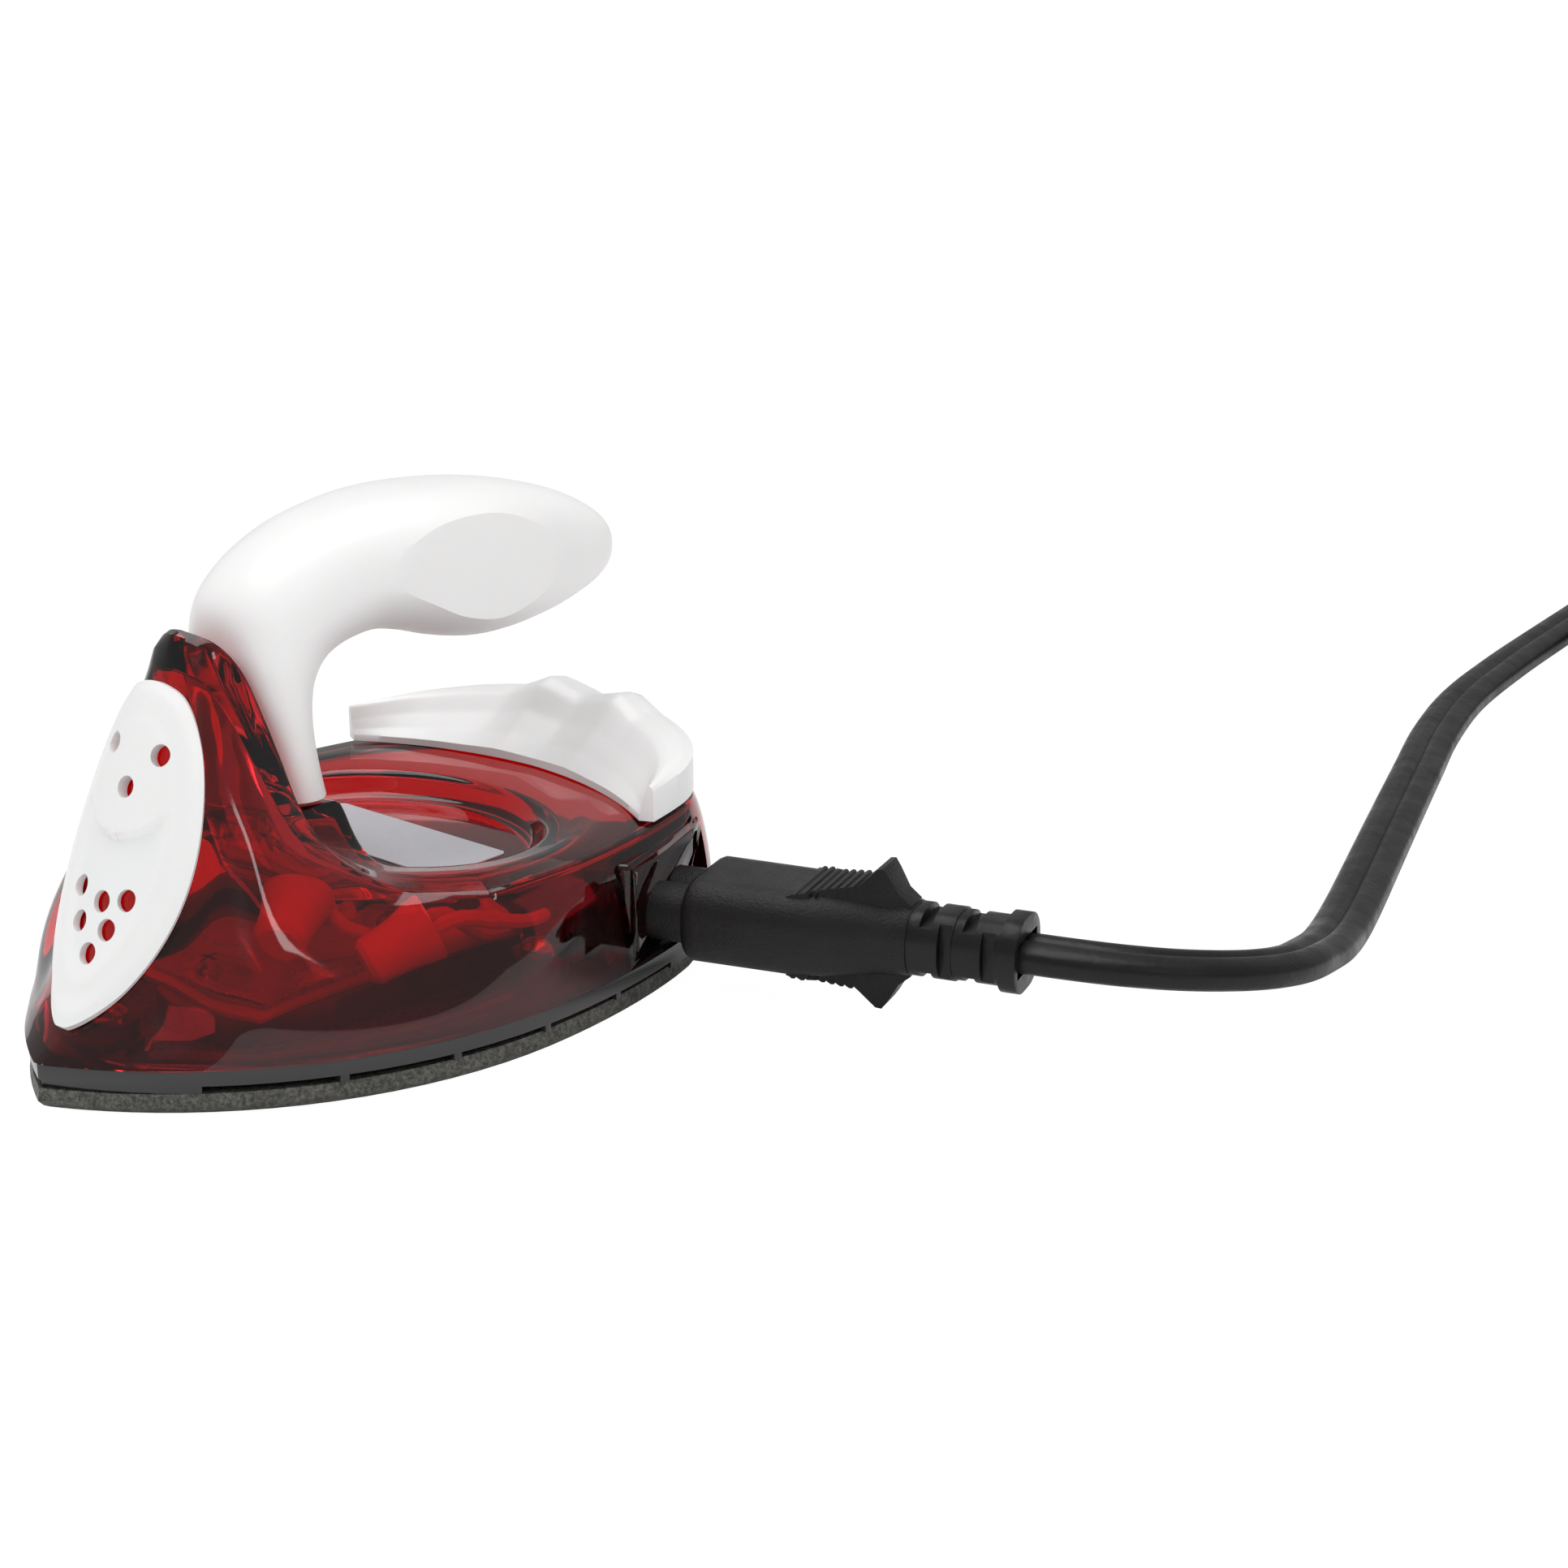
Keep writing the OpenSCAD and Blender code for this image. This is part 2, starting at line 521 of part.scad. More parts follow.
module at_plug(off) at_inlet() translate([plug_s, off, plug_z]) children();
pin_len = 11;
housing_face = -5;
housing_len = 17.2;
barrel_d = 8;
module figure8(d, h) rotate([-90, 0, 0]) {
    for (x = [-1, 1]) translate([x * pin_pitch / 2, 0, 0]) cylinder(d = d, h = h);
    translate([-pin_pitch / 2, -d * 0.3, 0]) cube([pin_pitch, d * 0.6, h]);
}
inlet_housing();
module inlet_housing() color(black) difference() {
    at_inlet() {
        translate([1.8, -8, shell_base + 0.2]) cube([frame_w - 3.6, 8 + housing_face, frame_h - 2]);
        translate([1.8, -housing_len, shell_base + 0.2]) cube([frame_w - 3.6, housing_len - 7, 11]);
    }
    at_plug(1.8 - housing_len) figure8(barrel_d + 0.5, 30);
}
inlet_pins();
module inlet_pins() color(brass) for (x = [-1, 1]) at_plug(-pin_len - 7.5) translate([x * pin_pitch / 2, 0, 0])
    rotate([-90, 0, 0]) {
        cylinder(d = 2.36, h = pin_len);
        translate([0, 0, pin_len]) cylinder(d1 = 2.36, d2 = 1.4, h = 1.2);
    }

connector_nose();
module connector_nose() color(black) difference() {
    at_plug(plug_gap - nose_len) figure8(barrel_d, nose_len + 3);
    for (x = [-1, 1]) at_plug(plug_gap - nose_len - 1) translate([x * pin_pitch / 2, 0, 0])
        rotate([-90, 0, 0]) cylinder(d = 3.4, h = nose_len - 0.5);
}
connector_contacts();
module connector_contacts() color(brass) for (x = [-1, 1])
    at_plug(plug_gap - nose_len + 1.5) translate([x * pin_pitch / 2, 0, 0]) rotate([-90, 0, 0])
        difference() {
            cylinder(d = 3.4, h = nose_len - 3);
            translate([0, 0, -1]) cylinder(d = 2.5, h = nose_len + 3);
        }

body_w = 17.6;
body_h = 11.6;
body_len = 30;
grip_at = 27;
module connector_section(w, h, r) hull() for (x = [-1, 1]) for (z = [-1, 1])
    translate([x * (w / 2 - r), 0, z * (h / 2 - r)]) rotate([-90, 0, 0]) cylinder(r = r, h = 0.4, $fn = 32);
connector_body();
module connector_body() color(black) difference() {
    at_plug(plug_gap) union() {
        hull() {
            connector_section(body_w - 1, body_h - 1, 4.4);
            translate([0, 1, 0]) connector_section(body_w, body_h, 4.6);
            translate([0, 16, 0]) connector_section(body_w, body_h, 4.6);
        }
        hull() {
            translate([0, 16, 0]) connector_section(body_w, body_h, 4.6);
            translate([0, body_len, 0]) connector_section(10.6, 9.6, 4);
        }
        for (m = [0, 1]) mirror([0, 0, m]) grip_wedge();
    }
    at_plug(0) figure8(barrel_d, plug_gap + 3);
}
// arrow shaped finger grip with steps across it
module grip_wedge() {
    for (i = [0 : 5]) translate([0, 15.5 + i * 1.8, 0]) translate([-(6 - i * 0.35), 0, 0])
        cube([12 - i * 0.7, 1.1, body_h / 2 + 0.35 + i * 0.18]);
    translate([0, 26, body_h / 2 - 3]) rotate([90, 0, 90]) translate([0, 0, -4.6]) linear_extrude(9.2)
        polygon([[-11, 0], [4, 0], [4, 1], [1.6, 5.8], [0.6, 5.8], [-1, 3.4], [-11, 3.1]]);
}
connector_relief();
relief_len = 15;
module relief_bar(w, h, r, len) rotate([-90, 0, 0]) linear_extrude(len) offset(r = r, $fn = 32)
    square([w - 2 * r, h - 2 * r], center = true);
module connector_relief() color(black) at_plug(plug_gap + body_len + 0.4) difference() {
    union() {
        relief_bar(10.2, 9.2, 4, 6.2);
        translate([0, 6.2, 0]) relief_bar(9.8, 8.8, 3.9, 6.6);
        translate([0, 12.6, 0]) relief_bar(11.4, 10, 4.4, relief_len - 12.6);
    }
    for (y = [1.6, 7.4]) for (z = [3.1, -8.1]) translate([-10, y, z]) cube([20, 1.7, 5]);
    for (y = [4.3, 10.1]) for (x = [3.6, -8.6]) translate([x, y, -10]) cube([5, 1.7, 20]);
    translate([-cord_w / 2 - 0.05, relief_len - 1.8, -cord_t / 2 - 0.05]) cube([cord_w + 0.1, 3, cord_t + 0.1]);
}

// ---- cord, coil and plug ---------------------------------------------------------------------

// where the cord leaves the strain relief
exit_off = plug_gap + body_len + 0.4 + relief_len - 1.8;
exit_dir = [sin(inlet_turn), -cos(inlet_turn), 0];
exit_pt = [nose_x + inlet_x + plug_s * cos(inlet_turn) + exit_off * exit_dir.x,
           inlet_y + plug_s * sin(inlet_turn) + exit_off * exit_dir.y, plug_z];
// route of the cord from the strain relief to the coil, in the part's own frame
lead_route = [
    exit_pt, exit_pt + exit_dir * 7, [49.1, -90.5, 11.5], [53.8, -95.7, 10.8], [59.7, -99.5, 9.8],
    [66.3, -101.7, 8.6], [73.3, -102.1, 7.3], [81.1, -100.6, 5.8], [88.8, -98.6, 4.4], [98.3, -95.3, 3.1],
    [109.6, -91.2, 2.5], [122.7, -86.4, 2.4], [137.7, -80.9, 2.4], [154.7, -74.7, 2.4], [173.5, -67.9, 2.4],
    [194.2, -60.5, 2.4], [217.3, -54, 2.4], [242.9, -49.7, 2.4], [268.7, -46.5, 2.45], [294.5, -43.8, 2.8],
    [318, -41, 3.3]
];
cord_lead();
module cord_lead() color(black)
    cord_tube([for (i = [0 : 40]) spline(lead_route, i / 40)], cord_w, cord_t, 12);

// coil of three and a half turns: two beside each other, and the rest on top of them
coil_turn = 8;                    // heading of the cord where it joins the coil
coil_c = [318 + coil_r * sin(coil_turn), -41 - coil_r * cos(coil_turn), 0];
coil_low = 1;
coil_in = coil_r - cord_w * 1.5 - 0.2;
coil_out = coil_r + cord_w / 2;
coil_high = coil_low + cord_t * 2 + 0.2;
function coil_section(g) = [
    [coil_in - g, coil_low + 1.4 - g / 2], [coil_in + 1.4 - g / 2, coil_low - g],
    [coil_out - 1.4 + g / 2, coil_low - g], [coil_out + g, coil_low + 1.4 - g / 2],
    [coil_out + g, coil_high - 1.4 + g / 2], [coil_out - 1.4 + g / 2, coil_high + g],
    [coil_in + 1.4 - g / 2, coil_high + g], [coil_in - g, coil_high - 1.4 + g / 2]
];
cord_coil();
module cord_coil() color(black) translate(coil_c) rotate_extrude($fn = 72) polygon(coil_section(0));

cord_tie();
module cord_tie() color([0.1, 0.1, 0.1]) translate(coil_c) rotate([0, 0, 200]) rotate_extrude(angle = 9)
    difference() {
        polygon(coil_section(0.95));
        polygon(coil_section(0.05));
    }

tail_dir = [-cos(coil_turn), -sin(coil_turn), 0];
tail_start = coil_c + [coil_r * sin(coil_turn), -coil_r * cos(coil_turn), coil_low + cord_t * 1.5 + 0.2];
tail_len = 38;
plug_mid_z = 8.4;
plug_relief_len = 24;
cord_tail();
module cord_tail() color(black) cord_tube([for (i = [0 : 4])
    tail_start + tail_dir * (tail_len * i / 4)
        + [0, 0, (plug_mid_z - tail_start.z) * ease(i / 4) - 1.6 * sin(45 * i)]],
    cord_w, cord_t, 12);

module at_cord_end(off) translate([tail_start.x, tail_start.y, plug_mid_z] + tail_dir * (tail_len + off))
    rotate([0, 0, coil_turn + 90]) children();
plug_relief();
module plug_relief() color(black) at_cord_end(-4) difference() {
    hull() {
        connector_section(9.4, 6.2, 2.8);
        translate([0, plug_relief_len, 0]) connector_section(13, 10, 4);
    }
    for (y = [5, 10, 15]) for (m = [0, 1]) mirror([m, 0, 0]) translate([3.4, y, -8]) cube([9, 1.6, 16]);
    translate([-cord_w / 2 - 0.05, -1, -cord_t / 2 - 0.05]) cube([cord_w + 0.1, 5.1, cord_t + 0.1]);
}
plug_len = 27;
plug_body();
module plug_body() color(black) at_cord_end(plug_relief_len - 3.6) {
    hull() {
        connector_section(14, 11, 4.5);
        translate([0, 9, 0]) connector_section(23, 15.4, 6);
        translate([0, plug_len - 3, 0]) connector_section(25.4, 16.6, 6.5);
    }
    translate([0, plug_len - 3.1, 0]) hull() {
        connector_section(26.4, 16.8, 7);
        translate([0, 2.4, 0]) connector_section(25.8, 16.4, 7);
    }
}
blade_pitch = 12.7;
plug_blades();
module plug_blades() color(brass) at_cord_end(plug_relief_len - 3.6 + plug_len - 2)
    for (x = [-1, 1]) translate([x * blade_pitch / 2 - 0.75, 0, -3.2]) difference() {
        cube([1.5, 17, 6.4]);
        translate([-1, 13.2, 3.2]) rotate([0, 90, 0]) cylinder(d = 3, h = 4, $fn = 24);
    }
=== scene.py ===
import math

import bmesh
import bpy
from mathutils import Matrix, Vector


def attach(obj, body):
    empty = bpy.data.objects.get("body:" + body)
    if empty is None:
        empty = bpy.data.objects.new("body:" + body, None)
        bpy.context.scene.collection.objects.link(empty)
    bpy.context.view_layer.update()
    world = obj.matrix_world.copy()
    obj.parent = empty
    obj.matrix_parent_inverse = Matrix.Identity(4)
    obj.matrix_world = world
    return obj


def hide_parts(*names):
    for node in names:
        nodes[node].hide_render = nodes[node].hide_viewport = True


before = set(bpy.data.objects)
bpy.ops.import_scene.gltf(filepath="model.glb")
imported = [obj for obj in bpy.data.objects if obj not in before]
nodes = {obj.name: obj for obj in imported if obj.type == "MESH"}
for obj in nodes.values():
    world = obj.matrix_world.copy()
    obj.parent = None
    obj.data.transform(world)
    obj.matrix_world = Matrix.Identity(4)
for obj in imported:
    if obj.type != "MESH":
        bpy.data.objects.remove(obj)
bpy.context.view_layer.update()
scene = bpy.context.scene
MM = 0.001
NOSE_X = -52.0  # the iron is drawn from its nose in millimetres, then moved here


# ---- camera ------------------------------------------------------------------------------

CAMERA_TURN = math.radians(50)
CAMERA_DOWN = math.radians(18)
CAMERA_AT = Vector((-0.2302, -0.2687, 0.1426))
SENSOR = 36
FOCAL_PIXELS, IMAGE_PIXELS = 3400, 1932

right = Vector((math.cos(CAMERA_TURN), -math.sin(CAMERA_TURN), 0))
ahead = Vector((
    -right.y * math.cos(CAMERA_DOWN),
    right.x * math.cos(CAMERA_DOWN),
    -math.sin(CAMERA_DOWN),
))
up = right.cross(ahead)
cam_data = bpy.data.cameras.new("camera")
cam_data.sensor_width = SENSOR
cam_data.lens = SENSOR * FOCAL_PIXELS / IMAGE_PIXELS
cam_data.clip_start = 0.01
cam = bpy.data.objects.new("camera", cam_data)
scene.collection.objects.link(cam)
cam.matrix_world = Matrix((
    (right.x, up.x, -ahead.x, CAMERA_AT.x),
    (right.y, up.y, -ahead.y, CAMERA_AT.y),
    (right.z, up.z, -ahead.z, CAMERA_AT.z),
    (0, 0, 0, 1),
))
scene.camera = cam
scene.view_settings.view_transform = "Standard"


# ---- small helpers -----------------------------------------------------------------------

MERGE = 2e-6


def link(name, mesh):
    obj = bpy.data.objects.new(name, mesh)
    scene.collection.objects.link(obj)
    return obj


def add_mesh(name, verts, faces, scale=MM):
    mesh = bpy.data.meshes.new(name)
    mesh.from_pydata([tuple(c * scale for c in v) for v in verts], [], faces)
    mesh.validate()
    return link(name, mesh)


def add_bmesh(name, bm):
    mesh = bpy.data.meshes.new(name)
    bm.to_mesh(mesh)
    bm.free()
    return link(name, mesh)


def from_nose(v):
    return (v[0] + NOSE_X, v[1], v[2])


def recalc(obj):
    """Doubled points are merged and all faces look out."""
    bm = bmesh.new()
    bm.from_mesh(obj.data)
    bmesh.ops.remove_doubles(bm, verts=bm.verts, dist=MERGE)
    bmesh.ops.recalc_face_normals(bm, faces=bm.faces)
    bm.to_mesh(obj.data)
    bm.free()


def smooth(obj, angle):
    """Smooth faces, with the edges sharper than this angle in degrees kept sharp."""
    obj.data.polygons.foreach_set("use_smooth", [True] * len(obj.data.polygons))
    bm = bmesh.new()
    bm.from_mesh(obj.data)
    for e in bm.edges:
        sharp = len(e.link_faces) == 2 and e.calc_face_angle(0) > math.radians(angle)
        e.smooth = not sharp
    bm.to_mesh(obj.data)
    bm.free()


def apply_all(obj):
    deps = bpy.context.evaluated_depsgraph_get()
    mesh = bpy.data.meshes.new_from_object(obj.evaluated_get(deps))
    obj.modifiers.clear()
    old = obj.data
    obj.data = mesh
    bpy.data.meshes.remove(old)


def boolean(obj, other, how):
    """The other object is joined to this one, cut out of it or met with it, and removed."""
    bpy.context.view_layer.update()
    modifier = obj.modifiers.new("cut", "BOOLEAN")
    modifier.operation = how
    modifier.object = other
    modifier.solver = "EXACT"
    apply_all(obj)
    bpy.data.objects.remove(other)


def add_bevel(obj, width, angle):
    modifier = obj.modifiers.new("bevel", "BEVEL")
    modifier.width = width * MM
    modifier.segments = 2
    modifier.limit_method = "ANGLE"
    modifier.angle_limit = math.radians(angle)


def block(name, low, high, place=None, bevel=0.0, segments=3):
    """A rounded block between two corners in millimetres, moved by place()."""
    bm = bmesh.new()
    bmesh.ops.create_cube(bm, size=1)
    for v in bm.verts:
        v.co = Vector([(low[i] + high[i]) / 2 + v.co[i] * (high[i] - low[i]) for i in range(3)])
    if bevel:
        bmesh.ops.bevel(
            bm, geom=bm.edges[:], offset=bevel, segments=segments, profile=0.5, affect="EDGES")
    for v in bm.verts:
        v.co = Vector(place(v.co) if place else v.co) * MM
    bmesh.ops.recalc_face_normals(bm, faces=bm.faces)
    return add_bmesh(name, bm)


def grid_faces(rows, cols, closed=True):
    faces = []
    for j in range(rows - 1):
        for i in range(cols if closed else cols - 1):
            a = j * cols + i
            b = j * cols + (i + 1) % cols
            faces.append((a, b, b + cols, a + cols))
    return faces


def end_faces(count, around):
    """The first and the last ring of a tube, closed."""
    first = tuple(range(around - 1, -1, -1))
    last = tuple(count - around + i for i in range(around))
    return [first, last]


def tube(name, verts, around):
    """A closed tube through rings of so many points each."""
    faces = grid_faces(len(verts) // around, around) + end_faces(len(verts), around)
    obj = add_mesh(name, verts, faces)
    recalc(obj)
    return obj


def spline(p, t):
    """Point on the smooth curve through all of p, with t from 0 to 1."""
    n = len(p) - 1
    s = min(n - 1e-4, max(0.0, t * n))
    i = int(s)
    u = s - i
    a, b, c, d = (Vector(p[k]) for k in (max(0, i - 1), i, i + 1, min(n, i + 2)))
    return 0.5 * (
        2 * b + (c - a) * u + (2 * a - 5 * b + 4 * c - d) * u * u + (3 * b - a - 3 * c + d) * u ** 3)


def ease(t):
    t = min(1.0, max(0.0, t))
    return t * t * (3 - 2 * t)


# ---- cord --------------------------------------------------------------------------------

INLET_TURN = math.radians(18)
INLET_X, INLET_Y = 69, -34.2
PLUG_S, PLUG_Z = 12.0, 11.8
RELIEF_END = 49.6


def at_inlet(v):
    """Along the inlet's face, out of it, and up."""
    c = math.cos(INLET_TURN)
    s = math.sin(INLET_TURN)
    return (NOSE_X + INLET_X + v[0] * c + v[1] * s, INLET_Y + v[0] * s - v[1] * c, v[2])


def at_plug(v):
    return at_inlet((PLUG_S + v[0], v[1], PLUG_Z + v[2]))


exit_pt = Vector(at_plug((0, RELIEF_END, 0)))
out_dir = Vector((math.sin(INLET_TURN), -math.cos(INLET_TURN), 0))
lead_route = [
    exit_pt, exit_pt + out_dir * 7, (49.1, -90.5, 11.5), (53.8, -95.7, 10.8), (59.7, -99.5, 9.8),
    (66.3, -101.7, 8.6), (73.3, -102.1, 7.3), (81.1, -100.6, 5.8), (88.8, -98.6, 4.4),
    (98.3, -95.3, 3.1), (109.6, -91.2, 2.5), (122.7, -86.4, 2.4), (137.7, -80.9, 2.4),
    (154.7, -74.7, 2.4), (173.5, -67.9, 2.4), (194.2, -60.5, 2.4), (217.3, -54, 2.4),
    (242.9, -49.7, 2.4), (268.7, -46.5, 2.45), (294.5, -43.8, 2.8), (318, -41, 3.3),
]
COIL_X, COIL_Y = 318, -41
COIL_OUTER, COIL_INNER = 54.0, 45.6
COIL_LOW, COIL_HIGH = 3.3, 8.0
COIL_END = 1260
COIL_STEP = 4
CROSSING = 50
heading = math.radians(8)
coil_middle = Vector((
    COIL_X + COIL_OUTER * math.sin(heading),
    COIL_Y - COIL_OUTER * math.cos(heading),
    0,
))


def coil_point(turned):
    """Point of the coil after so many degrees: round the outside, the inside, then back on top."""
    r = COIL_OUTER - (COIL_OUTER - COIL_INNER) * ease((turned - 310) / CROSSING)
    r += (COIL_OUTER - COIL_INNER) * ease((turned - 910) / CROSSING)
    z = COIL_LOW + (COIL_HIGH - COIL_LOW) * ease((turned - 610) / CROSSING)
    z += 0.1 * ease((turned - 1200) / 60)
    a = math.radians(98 - turned)
    return Vector((coil_middle.x + r * math.cos(a), coil_middle.y + r * math.sin(a), z))


LEAD_STEPS, TAIL_STEPS = 120, 19
TAIL_LENGTH, TAIL_RISE, TAIL_SAG = 41, 0.3, 1.6
route = [spline(lead_route, i / LEAD_STEPS) for i in range(LEAD_STEPS + 1)]
route += [coil_point(t) for t in range(COIL_STEP, COIL_END + 1, COIL_STEP)]
tail_dir = Vector((-math.cos(heading), -math.sin(heading), 0))
tail_start = coil_point(COIL_END)
for i in range(1, TAIL_STEPS + 1):
    t = i / TAIL_STEPS
    hang = Vector((0, 0, TAIL_RISE * ease(t) - TAIL_SAG * math.sin(math.pi * t)))
    route.append(tail_start + tail_dir * TAIL_LENGTH * t + hang)


def cord_profile(steps=44):
    """Two round cores side by side, with a groove between them and fine ribs on one of them."""
    half_wide, half_high = 4.1, 2.3
    groove_deep, groove_at, groove_wide = 0.34, -0.1, 0.62
    ribs_from, rib_deep = -0.9, 0.055
    pts = []
    for i in range(steps):
        g = 2 * math.pi * i / steps
        x = half_wide * math.cos(g)
        y = math.copysign(min(2.28, half_high * abs(math.sin(g)) ** 0.72), math.sin(g))
        y *= 1 - groove_deep * math.exp(-((x - groove_at) / groove_wide) ** 2)
        if x < ribs_from:
            y *= 1 - rib_deep * (i % 2)
        pts.append((x, y))
    return pts


def sweep(name, path, profile):
    verts = []
    for i, p in enumerate(path):
        d = (path[min(len(path) - 1, i + 1)] - path[max(0, i - 1)]).normalized()
        side = d.cross(Vector((0, 0, 1))).normalized()
        top = side.cross(d)
        verts += [tuple(p + side * x + top * y) for x, y in profile]
    obj = tube(name, verts, len(profile))
    smooth(obj, 60)
    return obj


cord = sweep("lead_cord", route, cord_profile())
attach(cord, "cord_set")
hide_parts("cord_lead", "cord_coil", "cord_tail")


# ---- materials ---------------------------------------------------------------------------

class Look:
    """A material, with short ways to give it procedural detail."""

    def __init__(self, name, color, rough, metallic=0.0):
        self.material = bpy.data.materials.new(name)
        self.material.use_nodes = True
        self.nodes = self.material.node_tree.nodes
        self.links = self.material.node_tree.links
        self.shader = self.nodes["Principled BSDF"]
        self.value("Base Color", (*color, 1))
        self.value("Roughness", rough)
        self.value("Metallic", metallic)
        self.value("Coat Roughness", 0.1)
        self.place = self.nodes.new("ShaderNodeTexCoord").outputs["Object"]

    def value(self, socket, value):
        self.shader.inputs[socket].default_value = value

    def noise(self, scale, detail, rough=0.5):
        texture = self.nodes.new("ShaderNodeTexNoise")
        texture.inputs["Scale"].default_value = scale
        texture.inputs["Detail"].default_value = detail
        texture.inputs["Roughness"].default_value = rough
        self.links.new(self.place, texture.inputs["Vector"])
        return texture.outputs["Fac"]

    def roughness(self, pattern, low, high, start=0.3, end=0.7):
        """Roughness from low to high, where the pattern goes from start to end."""
        remap = self.nodes.new("ShaderNodeMapRange")
        remap.inputs["From Min"].default_value = start
        remap.inputs["From Max"].default_value = end
        remap.inputs["To Min"].default_value = low
        remap.inputs["To Max"].default_value = high
        self.links.new(pattern, remap.inputs["Value"])
        self.links.new(remap.outputs["Result"], self.shader.inputs["Roughness"])

    def bump(self, pattern, distance, strength):
        node = self.nodes.new("ShaderNodeBump")
        node.inputs["Distance"].default_value = distance
        node.inputs["Strength"].default_value = strength
        self.links.new(pattern, node.inputs["Height"])
        self.links.new(node.outputs["Normal"], self.shader.inputs["Normal"])

    def tint(self, pattern, dark, light, start=0.0, end=1.0):
        """Colour from dark to light, where the pattern goes from start to end."""
        node = self.nodes.new("ShaderNodeValToRGB")
        for stop, color, at in zip(node.color_ramp.elements, (dark, light), (start, end)):
            stop.color = (*color, 1)
            stop.position = at
        self.links.new(pattern, node.inputs["Fac"])
        self.links.new(node.outputs["Color"], self.shader.inputs["Base Color"])

    def mix(self, factor, other):
        """Another shader comes in by this factor."""
        node = self.nodes.new("ShaderNodeMixShader")
        self.links.new(factor, node.inputs[0])
        self.links.new(self.shader.outputs[0], node.inputs[1])
        self.links.new(other, node.inputs[2])
        self.links.new(node.outputs[0], self.nodes["Material Output"].inputs["Surface"])


def clear_red():
    """Clear plastic. Its shadow rays pass as red light, so the inside is lit."""
    look = Look("clear_red", (0.62, 0.012, 0.02), 0.03)
    look.value("Transmission Weight", 1.0)
    look.value("IOR", 1.49)
    look.roughness(look.noise(60, 4), 0.015, 0.075, 0.35, 0.75)
    look.bump(look.noise(35, 2), 0.0003, 0.25)
    rays = look.nodes.new("ShaderNodeLightPath")
    passing = look.nodes.new("ShaderNodeBsdfTransparent")
    passing.inputs["Color"].default_value = (0.72, 0.03, 0.035, 1)
    look.mix(rays.outputs["Is Shadow Ray"], passing.outputs[0])
    return look.material


def white_gloss():
    look = Look("white_gloss", (0.86, 0.86, 0.855), 0.32)
    look.value("Subsurface Weight", 0.12)
    look.value("Subsurface Scale", 0.002)
    look.roughness(look.noise(45, 4), 0.27, 0.4)
    look.tint(look.noise(9, 2), (0.85, 0.85, 0.85), (0.87, 0.868, 0.862))
    look.bump(look.noise(120, 2), 0.0002, 0.15)
    return look.material


def black_gloss():
    look = Look("black_gloss", (0.012, 0.012, 0.013), 0.16)
    look.value("Coat Weight", 0.3)
    look.roughness(look.noise(80, 5), 0.1, 0.26)
    look.bump(look.noise(90, 2), 0.0003, 0.2)
    return look.material


def black_grain():
    look = Look("black_grain", (0.008, 0.008, 0.0085), 0.34)
    look.value("Specular IOR Level", 0.25)
    look.roughness(look.noise(130, 5), 0.24, 0.42)
    look.tint(look.noise(200, 4), (0.005, 0.005, 0.0055), (0.012, 0.012, 0.0125))
    look.bump(look.noise(2600, 3, 0.7), 0.0003, 0.55)
    return look.material


def cord_black():
    look = Look("cord_black", (0.008, 0.008, 0.0085), 0.36)
    look.value("Specular IOR Level", 0.25)
    look.roughness(look.noise(220, 4), 0.28, 0.46)
    look.tint(look.noise(90, 4), (0.004, 0.004, 0.0045), (0.011, 0.011, 0.0115))
    look.bump(look.noise(900, 3), 0.0002, 0.3)
    return look.material


def cast_sole():
    look = Look("cast_sole", (0.13, 0.13, 0.115), 0.5, metallic=0.25)
    speck = look.noise(1500, 3, 0.8)
    look.tint(speck, (0.035, 0.036, 0.031), (0.15, 0.15, 0.132), 0.4, 0.68)
    look.roughness(look.noise(300, 4), 0.36, 0.6)
    look.bump(speck, 0.0003, 0.4)
    return look.material


def metal(name, color, rough):
    look = Look(name, color, rough, metallic=1.0)
    look.roughness(look.noise(400, 4), rough * 0.7, rough * 1.5)
    look.bump(look.noise(700, 3), 0.0002, 0.2)
    return look.material


def matte(name, color, rough, spread=0.15, scale=200):
    look = Look(name, color, rough)
    dark = tuple(c * (1 - spread) for c in color)
    light = tuple(min(1, c * (1 + spread)) for c in color)
    look.tint(look.noise(scale, 4), dark, light)
    look.bump(look.noise(scale * 3, 3), 0.0003, 0.3)
    return look.material


materials = {
    "red": clear_red(),
    "white": white_gloss(),
    "skirt": black_gloss(),
    "grain": black_grain(),
    "cord": cord_black(),
    "sole": cast_sole(),
    "steel": metal("steel", (0.62, 0.62, 0.63), 0.28),
    "brass": metal("brass", (0.72, 0.53, 0.24), 0.22),
    "nickel": metal("nickel", (0.7, 0.68, 0.63), 0.2),
    "sheath": metal("sheath", (0.28, 0.26, 0.25), 0.5),
    "mica": matte("mica", (0.5, 0.43, 0.32), 0.6),
    "ceramic": matte("ceramic", (0.8, 0.78, 0.72), 0.55),
    "cap": matte("cap", (0.85, 0.8, 0.76), 0.35, spread=0.06),
    "sleeve": matte("sleeve", (0.8, 0.8, 0.78), 0.8, spread=0.1, scale=900),
    "label": matte("label", (0.55, 0.56, 0.6), 0.34, spread=0.03, scale=600),
}


def paint(obj, key):
    obj.data.materials.clear()
    obj.data.materials.append(materials[key])


